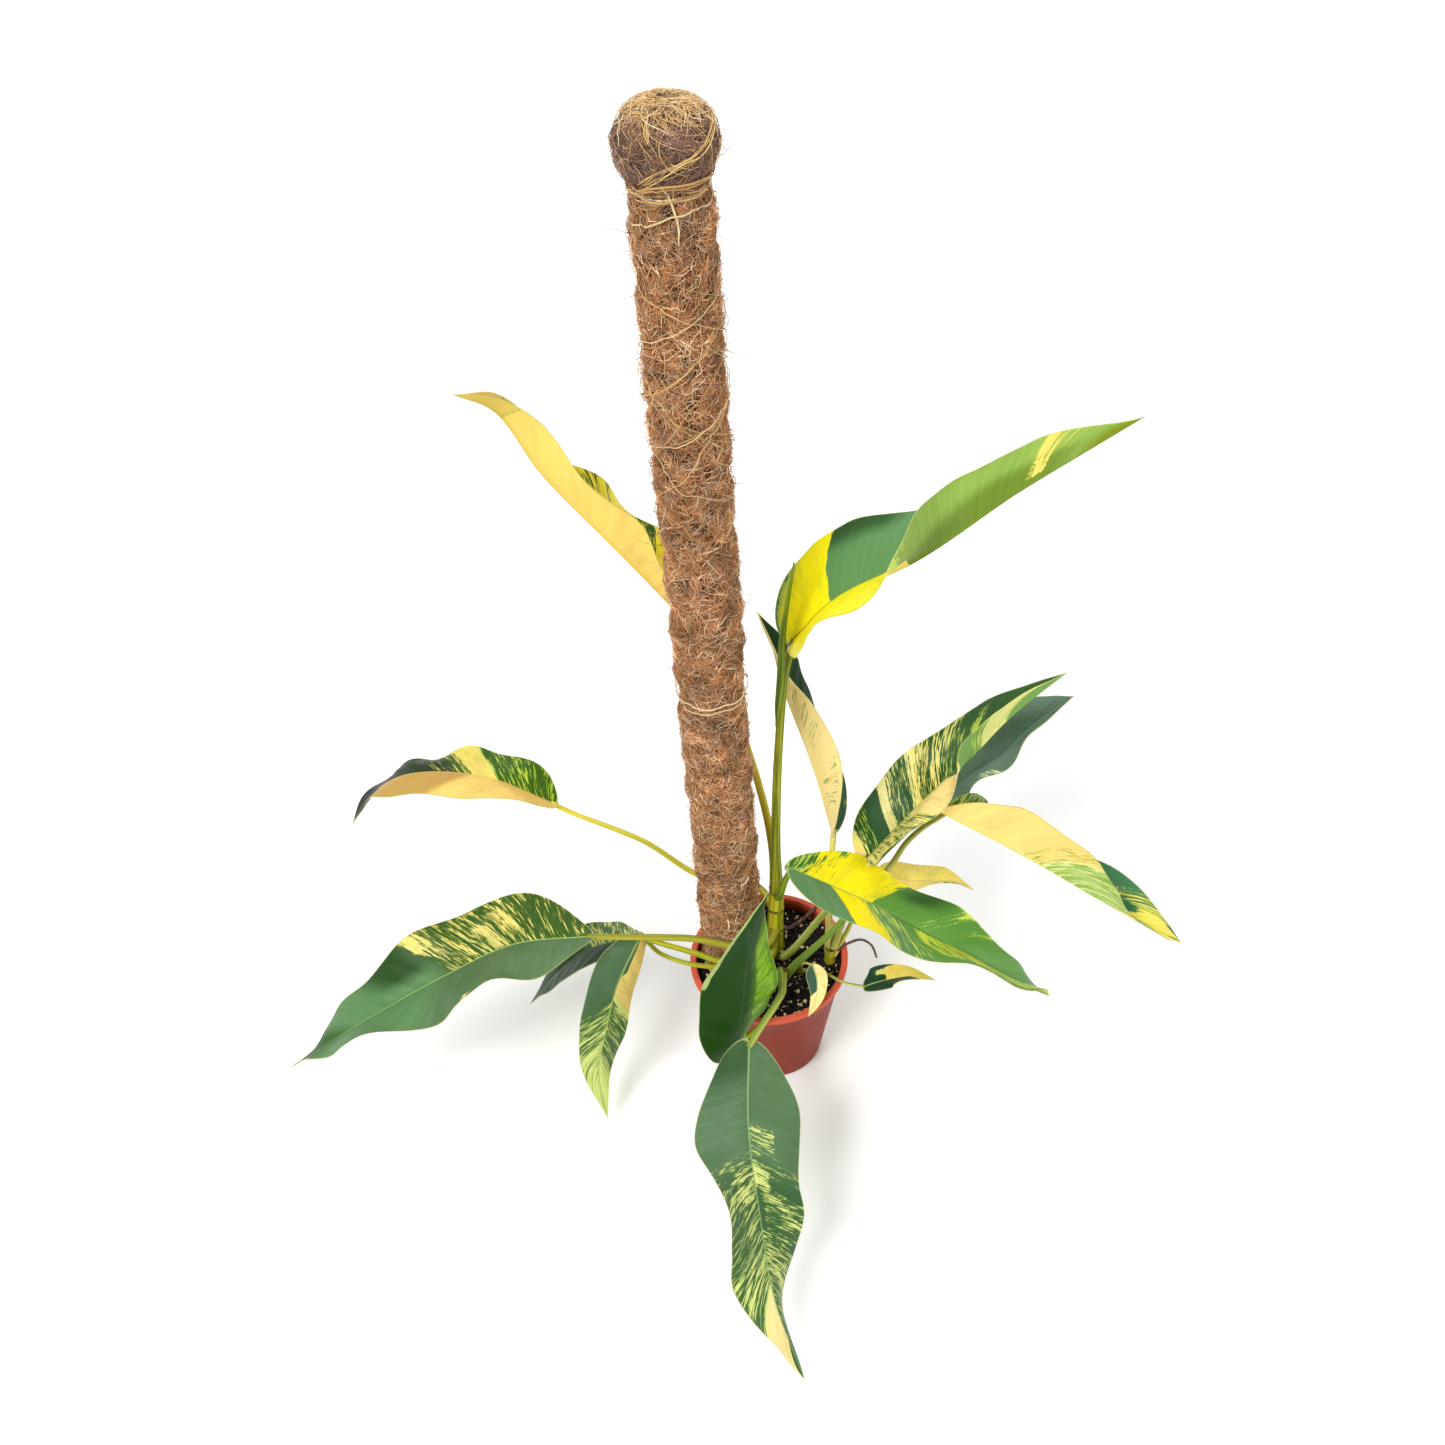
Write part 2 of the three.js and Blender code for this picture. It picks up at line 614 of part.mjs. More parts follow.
// One point on a half of the blade, with the way its upper side looks there. side is
// -1 on the left and 1 on the right, and share runs from the midrib to the edge.
function bladePoint(leaf, frame, side, share) {
  const half = side < 0 ? leaf.left : leaf.right;
  const { s, at, ahead, up, right } = frame;
  const width = Math.max(outline(s) * along(half.width, s), BLADE.tip);
  const point = at.clone();
  let from = 0;
  let slope = 0;
  for (const to of [...BLADE_COLUMNS, share].filter((c) => c <= share).sort((a, b) => a - b)) {
    slope = radians(along(half.fold, s) + BLADE.arch * ((from + to) / 2 - 0.5));
    const run = width * (to - from);
    point.addScaledVector(right, side * run * Math.cos(slope)).addScaledVector(up, run * Math.sin(slope));
    from = to;
  }
  const [height, count, phase] = half.wave;
  const ripple = height * Math.sin(2 * Math.PI * count * s + radians(phase)) * outline(s);
  const lobe = BLADE.lobe * (half.width[1] / BLADE.lobeWidth);
  const back = lobe * Math.pow(Math.max(0, 1 - s / BLADE.lobeLength), 2);
  point.addScaledVector(up, ripple * share * share).addScaledVector(ahead, -back * share * share);
  const normal = up.clone().multiplyScalar(Math.cos(slope)).addScaledVector(right, -side * Math.sin(slope));
  return { point, normal };
}

// The rings of a petiole, carried back from the blade so that its sides meet the blade's.
function stalkRings(leaf, grow = 0) {
  const count = 2 * (2 * BLADE_COLUMNS.length + 1);
  const steps = rowsOf(leaf).stalk;
  const curve = curveOf([...leaf.petiole, leaf.midrib[0]]);
  const { up } = bladeFrames(leaf, 1)[0];
  const rings = [];
  for (let i = steps; i >= 0; i--) {
    const t = i / steps;
    const ahead = curve.getTangentAt(t);
    up.projectOnPlane(ahead).normalize();
    const right = ahead.clone().cross(up);
    const centre = curve.getPointAt(t);
    const r = stalkRadius(leaf, t) + grow;
    const ring = [];
    for (let j = 0; j < count; j++) {
      const a = Math.PI * (1 - (j + 0.5) / (count / 2));
      ring.push(
        centre.clone().addScaledVector(right, r * Math.cos(a)).addScaledVector(up, r * Math.sin(a)),
      );
    }
    rings.unshift(ring);
  }
  return rings;
}

// One leaf with its petiole, as a single skin.
function frond(leaf) {
  const blade = bladeFrames(leaf, rowsOf(leaf).blade);
  const rings = stalkRings(leaf);
  for (const frame of blade.slice(1)) {
    const upper = [];
    const lower = [];
    const put = ({ point, normal }, share, rib) => {
      const thick = THREE.MathUtils.lerp(BLADE.mid, BLADE.edge, share) / 2;
      upper.push(point.clone().addScaledVector(normal, thick));
      lower.unshift(point.clone().addScaledVector(normal, -thick - rib));
    };
    for (const share of [...BLADE_COLUMNS].reverse()) put(bladePoint(leaf, frame, -1, share), share, 0);
    const rib = BLADE.rib * (leaf.stalk / BLADE.ribStalk) * Math.pow(1 - frame.s, 0.7);
    put({ point: frame.at, normal: frame.up }, 0, rib);
    for (const share of BLADE_COLUMNS) put(bladePoint(leaf, frame, 1, share), share, 0);
    rings.push([...upper, ...lower]);
  }
  return loft(rings, true);
}

// Scene graph
const plant = new THREE.Group();

function addPiece(name, geometry, colour, roughness = 0.7, metalness = 0) {
  const material = new THREE.MeshStandardMaterial({ color: colour, roughness, metalness });
  const mesh = new THREE.Mesh(geometry, material);
  mesh.name = name;
  plant.add(mesh);
}

const stakeHole = makeStake(GAP);
const stemHoles = STEMS.map((stem) => stemTube(stem, GAP));
const stalkHoles = LEAVES.map((leaf) => loft(stalkRings(leaf, GAP)));
const rootHoles = AERIAL_ROOTS.map((root) => rootTube(root, GAP));

addPiece("pot", makePot(), COLOURS.pot, 0.5);
const inSoil = [makeWrapHole(), stakeHole, ...stemHoles, ...stalkHoles, ...rootHoles];
addPiece("soil", makeSoil(inSoil), COLOURS.soil, 0.95);
addPiece("pole_stake", makeStake(), COLOURS.stake, 0.7);
addPiece("coir_wrap", makeCoirWrap(), COLOURS.coir, 0.95);
for (const tie of TIES) addPiece(tie.name, makeTie(tie), COLOURS.twine, 0.85);
for (const stem of STEMS) addPiece(stem.name, stemTube(stem), COLOURS.stem, 0.5);

// Each petiole clasps its stem and gives way to the petioles made before it.
LEAVES.forEach((leaf, i) => {
  const colour = YELLOW_LEAVES.includes(leaf.name) ? COLOURS.yellowLeaf : COLOURS.leaf;
  const cuts = [...stemHoles, ...stalkHoles.slice(0, i)];
  const shape = cuts.reduce((solid, cut) => solid.subtract(toSolid(cut)), toSolid(frond(leaf)));
  addPiece(leaf.name, largest(shape), colour, 0.35);
});

const besideStalks = stalkHoles.reduce((s, cut) => s.subtract(toSolid(cut)), toSolid(spearTube()));
addPiece(SPEAR.name, largest(besideStalks), COLOURS.spear, 0.4);
for (const root of AERIAL_ROOTS) {
  const cuts = [...stemHoles, ...stalkHoles];
  const shape = cuts.reduce((solid, cut) => solid.subtract(toSolid(cut)), toSolid(rootTube(root)));
  addPiece(root.name, largest(shape), COLOURS.root, 0.8);
}

export default plant;
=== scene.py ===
import json
import math

import bpy
import numpy as np
from mathutils import Matrix, Vector


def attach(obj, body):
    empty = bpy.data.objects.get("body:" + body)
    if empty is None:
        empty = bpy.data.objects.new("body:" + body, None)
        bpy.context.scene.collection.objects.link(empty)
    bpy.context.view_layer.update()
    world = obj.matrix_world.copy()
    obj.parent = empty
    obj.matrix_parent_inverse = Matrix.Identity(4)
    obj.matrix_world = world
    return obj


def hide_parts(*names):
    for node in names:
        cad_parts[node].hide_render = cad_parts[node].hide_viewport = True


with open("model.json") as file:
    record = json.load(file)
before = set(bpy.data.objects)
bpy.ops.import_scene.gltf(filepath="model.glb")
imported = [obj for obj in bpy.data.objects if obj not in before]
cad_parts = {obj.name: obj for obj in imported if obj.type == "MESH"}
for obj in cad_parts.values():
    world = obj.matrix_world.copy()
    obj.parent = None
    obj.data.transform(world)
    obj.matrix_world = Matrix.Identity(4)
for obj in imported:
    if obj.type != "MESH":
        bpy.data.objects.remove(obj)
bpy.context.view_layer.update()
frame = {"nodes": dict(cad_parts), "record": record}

bl_info = {
    "name": "Potted epipremnum giganteum",
    "version": (1, 0, 0),
    "blender": (4, 5, 0),
    "location": "View3D > Sidebar > Pole Plant",
    "description": "Builds the leaves, coir pole, pot and soil of a climbing aroid",
    "category": "Add Mesh",
}

MM = 0.001
TURN = 2 * math.pi
# A distance for surfaces that have no midrib or margin near
FAR = 99.0
# Seeds of the random draws
SEEDS = {
    "stems": 30,
    "spear": 40,
    "roots": 50,
    "fibres": 100,
    "ball": 120,
    "hairs": 130,
    "ties": 140,
    "soil": 160,
}

# Tones of the leaves, stems and fibres
TONES = {
    "deep": "#1f4d18",
    "slate": "#37573c",
    "leaf green": "#5b8c38",
    "soft green": "#618f58",
    "grey green": "#5e8354",
    "bright green": "#6c9954",
    "glossy dark": "#193f03",
    "back green": "#8da64a",
    "back dark": "#6f882c",
    "lemon": "#e7d406",
    "sun": "#efdc34",
    "cream": "#f2db90",
    "custard": "#ebd065",
    "peach": "#bf9448",
    "butter": "#e4d376",
    "lime": "#b9cf57",
    "pale lime": "#dcdc85",
    "chartreuse": "#7d9f10",
    "olive": "#7e8f14",
    "dark olive": "#4f6114",
    "stalk green": "#6d8a34",
    "stalk yellow": "#c9b92e",
    "ochre": "#a98d38",
    "bark": "#4c3428",
    "root": "#6a4b3a",
    "dry": "#d09a78",
    "tip dark": "#1f2419",
}


def tone(name):
    """Linear colour of a named tone or of a hex code."""
    code = TONES.get(name, name).lstrip("#")
    parts = [int(code[i : i + 2], 16) / 255 for i in (0, 2, 4)]
    return tuple(c / 12.92 if c < 0.04045 else ((c + 0.055) / 1.055) ** 2.4 for c in parts)


# Sizes that the pieces share with the frame
POT = {
    "height": 136,
    "lip_radius": 75,
    "lip_height": 6,
    "lip_round": 1.2,
    "neck_radius": 71,
    "band_height": 3,
    "band_step": 0.8,
    "foot_radius": 48,
    "chamfer": 1.5,
    "wall": 1.8,
    "wall_rows": 6,
    "segments": 144,
    "floor": 2.5,
    "drain_holes": 6,
    "drain_radius": 4,
    "drain_circle": 30,
    "drill_depth": 20,
}
SOIL = {"top": 124, "gap": 0.3, "reach": 66, "rings": 46, "segments": 150}
POLE = {
    "x": -33.5,
    "y": 20,
    "foot": 108,
    "foot_radius": 24.3,
    "foot_height": 20,
    "radius": 27.3,
    "lump": 1.5,
    "lump_height": 58,
    "lump_shear": 1.4,
    "waist_half": 5.4,
    "waist_ease": 12,
    "waist_radius": 25.2,
    "ball_height": 962,
    "ball_radius": 33,
    "ball_rise": 26,
    "ball_low": -0.48,
    "ball_square": 2.6,
}
NECK_TIE = 936
STRING_LOOP = 484
NETTING = {"height": 25, "around": 7, "radius": 27, "depth": 2.1, "drift": 0.55}

STEMS = [
    {
        "name": "stem_main",
        "path": [[8, 15, 104], [8, 18, 150], [12, 26, 207]],
        "radius": [8.5, 7],
        "nodes": 4,
    },
    {
        "name": "stem_right",
        "path": [[58, -4, 108], [58, -4, 130], [59, -3, 146]],
        "radius": [6, 5],
        "nodes": 2,
    },
    {
        "name": "stem_front",
        "path": [[10, -22, 106], [10, -23, 128], [10, -26, 146]],
        "radius": [5.5, 4.5],
        "nodes": 2,
    },
    {
        "name": "stem_young",
        "path": [[28, -12, 110], [28, -13, 124], [28, -15, 136]],
        "radius": [3, 2.5],
        "nodes": 1,
    },
]
ROOTS = [
    {
        "name": "aerial_root_inner",
        "path": [[14, 20, 152], [24, 30, 138], [38, 42, 135], [50, 50, 140]],
        "radius": [2.2, 1.6],
    },
    {
        "name": "aerial_root_outer",
        "path": [[60, -5, 138], [72, -2, 146], [88, 0, 150], [97, -4, 146], [102, -8, 131]],
        "radius": [1.5, 1],
    },
]
SPEAR = {
    "path": [[19, 45, 405], [24, 42.5, 460], [28, 43.5, 515], [39, 46, 588]],
    "radius": [2.6, 3.2, 2.4, 0.7],
    "foot": 0.16,
    "foot_radius": 0.3,
}
STEM = {"rows": 70, "sides": 18, "scar": 0.09, "root_rows": 60, "root_lump": 0.12, "under": 0.3}

# Each leaf: radius of its stalk, points of its petiole and midrib, the way that its
# upper side faces, its roll about the midrib, and for each half the half widths, the
# folds up from flat and the edge wave's height, count and phase.
LEAVES = [
    {
        "name": "leaf_01",
        "stalk": 4.2,
        "petiole": [[10, 26, 185], [11, 46, 235], [0, 60, 325], [-26, 84, 430]],
        "midrib": [[-55, 90, 505], [-103, 71, 601], [-146, 59, 684], [-170, 49, 749], [-194, 20, 789]],
        "faces": [0.6, 0, 0.8],
        "roll": [-15, 10, 15],
        "left": ([50, 46, 43, 44, 45], [50, 50, 60, 70], [5, 3, 15]),
        "right": ([50, 48, 41, 41, 44], [45, 30, 30, 50], [7, 3, -35]),
    },
    {
        "name": "leaf_02",
        "stalk": 5,
        "petiole": [[11, 25, 203], [13, 33, 265], [20, 45, 375], [30, 56, 462]],
        "midrib": [[38, 60, 492], [72, 51, 542], [135, 29, 599], [206, 26, 657], [290, 14, 728]],
        "faces": [0, 0, 1],
        "roll": [0, -15, -25],
        "left": ([68, 65, 61, 58, 56], [70, 25, 25, 35], [4, 3, 150]),
        "right": ([64, 64, 64, 61, 56], [5, 10, 80, 110], [-8, 3, 65]),
    },
    {
        "name": "leaf_03",
        "stalk": 4,
        "petiole": [[58, -3, 138], [59, 12, 172], [64, 36, 225]],
        "midrib": [[68, 49, 256], [49, 67, 341], [29, 89, 406], [21, 95, 454], [10, 102, 487]],
        "faces": [1, 0, 0],
        "roll": [-16, 24, -36],
        "left": ([38, 39, 38, 38, 38], [7, 26, 28, 19], [1, 3, 85]),
        "right": ([38, 38, 39, 40, 40], [38, 46, 62, 61], [-2, 3, 115]),
    },
    {
        "name": "leaf_04",
        "stalk": 4,
        "petiole": [[8, 14, 122], [16, -4, 140], [53, -5, 202], [82, 17, 218]],
        "midrib": [[97, 34, 229], [146, 50, 280], [198, 68, 327], [231, 64, 380], [272, 67, 420]],
        "faces": [0, 0, 1],
        "roll": [-15, 5, 5],
        "left": ([54, 48, 46, 47, 47], [50, 30, 25, 15], [3, 3, 60]),
        "right": ([50, 49, 49, 49, 48], [25, 35, 65, 85], [-5, 3, 75]),
    },
    {
        "name": "leaf_05",
        "stalk": 3.4,
        "petiole": [[11, -22, 126], [24, -20, 146], [71, -6, 193], [98, 36, 206], [131, 60, 223]],
        "midrib": [[162, 76, 238], [193, 93, 260], [228, 101, 281], [258, 109, 312], [291, 103, 352]],
        "faces": [0, 0, 1],
        "roll": [-10, -10, 5],
        "left": ([44, 46, 49, 51, 50], [10, 15, 25, 25], [2.5, 3, 80]),
        "right": ([44, 46, 47, 49, 50], [20, 25, 25, 10], [2, 3, 90]),
    },
    {
        "name": "leaf_06",
        "stalk": 3.6,
        "petiole": [[60, -2, 142], [77, 8, 186], [117, 33, 213], [133, 34, 247], [146, 34, 265]],
        "midrib": [[166, 29, 290], [242, 29, 222], [314, 16, 165], [370, -1, 128], [401, 7, 94]],
        "faces": [0, 0, 1],
        "roll": [-11, -9, 17],
        "left": ([52, 40, 50, 54, 53], [75, 5, 26, 43], [3, 3, 65]),
        "right": ([43, 48, 51, 50, 45], [87, 86, 58, 26], [-2, 3, 85]),
    },
    {
        "name": "leaf_07",
        "stalk": 4,
        "petiole": [[12, 24, 196], [15, 4, 228], [20, 0, 252]],
        "midrib": [[26, 0, 264], [98, -15, 222], [169, -41, 183], [230, -55, 139], [265, -38, 88]],
        "faces": [0, 0, 1],
        "roll": [-7, -14, -12],
        "left": ([48, 48, 48, 50, 48], [20, 10, 25, 20], [6, 3, -120]),
        "right": ([46, 47, 49, 48, 47], [0, 5, 25, 25], [6, 3, 165]),
    },
    {
        "name": "leaf_08",
        "stalk": 2.6,
        "petiole": [[61, -5, 136], [76, 8, 156], [97, 38, 178]],
        "midrib": [[111, 42, 195], [133, 39, 186], [157, 39, 183], [179, 38, 179], [200, 38, 164]],
        "faces": [0, 0, 1],
        "roll": [-10, -20, -15],
        "left": ([28, 28, 29, 29, 29], [0, 5, 10, 10], [1.5, 2, -90]),
        "right": ([28, 28, 28, 28, 28], [5, 15, 25, 20], [1, 2, 90]),
    },
    {
        "name": "leaf_09",
        "stalk": 3.2,
        "petiole": [[10, 25, 168], [-6, 56, 172], [-58, 62, 187], [-109, 66, 241], [-172, 71, 284]],
        "midrib": [[-188, 71, 299], [-244, 79, 332], [-312, 90, 332], [-358, 103, 292], [-381, 100, 258]],
        "faces": [0, 0, 1],
        "roll": [5, 10, 10],
        "left": ([41, 42, 43, 41, 39], [35, 10, 0, 10], [-2, 3.5, 50]),
        "right": ([44, 44, 41, 40, 40], [25, -5, -5, 5], [6, 3.5, -15]),
    },
    {
        "name": "leaf_10",
        "stalk": 4,
        "petiole": [[8, 16, 156], [-4, -8, 164], [-33, -16, 178], [-68, -20, 199], [-135, -22, 213]],
        "midrib": [[-165, -22, 217], [-230, -30, 225], [-294, -51, 214], [-376, -68, 175], [-453, -69, 115]],
        "faces": [0, 0, 1],
        "roll": [20, 5, 25],
        "left": ([53, 52, 51, 53, 55], [0, 5, 10, 15], [14, 3, 105]),
        "right": ([55, 54, 50, 55, 56], [15, 40, 35, -10], [-8, 3, 135]),
    },
    {
        "name": "leaf_11",
        "stalk": 3,
        "petiole": [[8, 15, 132], [-2, -10, 140], [-33, -15, 143], [-75, -8, 144], [-104, 6, 147]],
        "midrib": [[-116, 14, 161], [-143, 14, 159], [-175, 20, 139], [-209, 21, 102], [-239, 24, 54]],
        "faces": [0, 0, 1],
        "roll": [20, 10, 15],
        "left": ([34, 35, 35, 35, 35], [-10, 5, 5, 0], [1.5, 3, -90]),
        "right": ([34, 36, 38, 36, 35], [-15, 10, 10, 0], [1, 3, -80]),
    },
    {
        "name": "leaf_12",
        "stalk": 3.6,
        "petiole": [[8, 15, 144], [-2, -14, 151], [-36, -23, 160], [-71, -24, 184], [-99, -22, 199]],
        "midrib": [[-117, -18, 206], [-142, -41, 166], [-159, -63, 118], [-170, -70, 67], [-167, -89, 15]],
        "faces": [-0.3, -0.8, 0.5],
        "roll": [-30, -28, -20],
        "left": ([28, 27, 28, 25, 24], [-35, -30, -20, -15], [-2.5, 3, 75]),
        "right": ([31, 29, 29, 30, 26], [-20, -10, -5, -5], [4, 3, 95]),
    },
    {
        "name": "leaf_13",
        "stalk": 3.6,
        "petiole": [[10, -24, 136], [8, -50, 143], [-8, -76, 143], [-24, -88, 138]],
        "midrib": [[-29, -92, 138], [-32, -104, 160], [-28, -93, 202], [-17, -75, 254], [2, -50, 300]],
        "faces": [0, -1, 0.4],
        "roll": [38, 28, 50],
        "left": ([45, 46, 48, 46, 44], [0, -10, -5, 0], [3, 3, 70]),
        "right": ([46, 47, 47, 46, 44], [-25, -15, -20, -30], [-5, 3, 165]),
    },
    {
        "name": "leaf_14",
        "stalk": 4,
        "petiole": [[10, -25, 143], [9, -55, 157], [1, -84, 177], [-13, -110, 184]],
        "midrib": [[-26, -126, 176], [-32, -189, 147], [-28, -258, 122], [-21, -312, 70], [0, -358, 9]],
        "faces": [0, 0, 1],
        "roll": [-25, -45, -35],
        "left": ([51, 55, 57, 56, 54], [5, 15, -5, -40], [-7, 2.5, 125]),
        "right": ([53, 56, 55, 57, 56], [0, 0, -5, -20], [13, 2.5, 20]),
    },
    {
        "name": "leaf_15",
        "stalk": 1.6,
        "petiole": [[28, -15, 133], [32, -26, 156]],
        "midrib": [[39, -40, 171], [42, -46, 158], [41, -56, 150], [37, -66, 146], [31, -76, 142]],
        "faces": [0, -0.8, 0.6],
        "roll": [0, 0, 0],
        "left": ([11, 11, 10, 10, 11], [0, 0, 0, 0], [0.5, 2, 0]),
        "right": ([12, 11, 9, 8, 10], [0, 0, 0, 0], [0.5, 2, 90]),
    },
    {
        "name": "leaf_16",
        "stalk": 1.6,
        "petiole": [[28, -14, 128], [48, -32, 148], [67, -50, 154]],
        "midrib": [[86, -55, 152], [94, -55, 156], [110, -51, 155], [131, -54, 161], [150, -60, 161]],
        "faces": [0, 0, 1],
        "roll": [-10, -15, -20],
        "left": ([19, 21, 19, 17, 15], [10, 10, 5, 0], [0.6, 2, 85]),
        "right": ([17, 18, 17, 16, 15], [10, 15, 20, 15], [0.5, 2, 85]),
    },
]

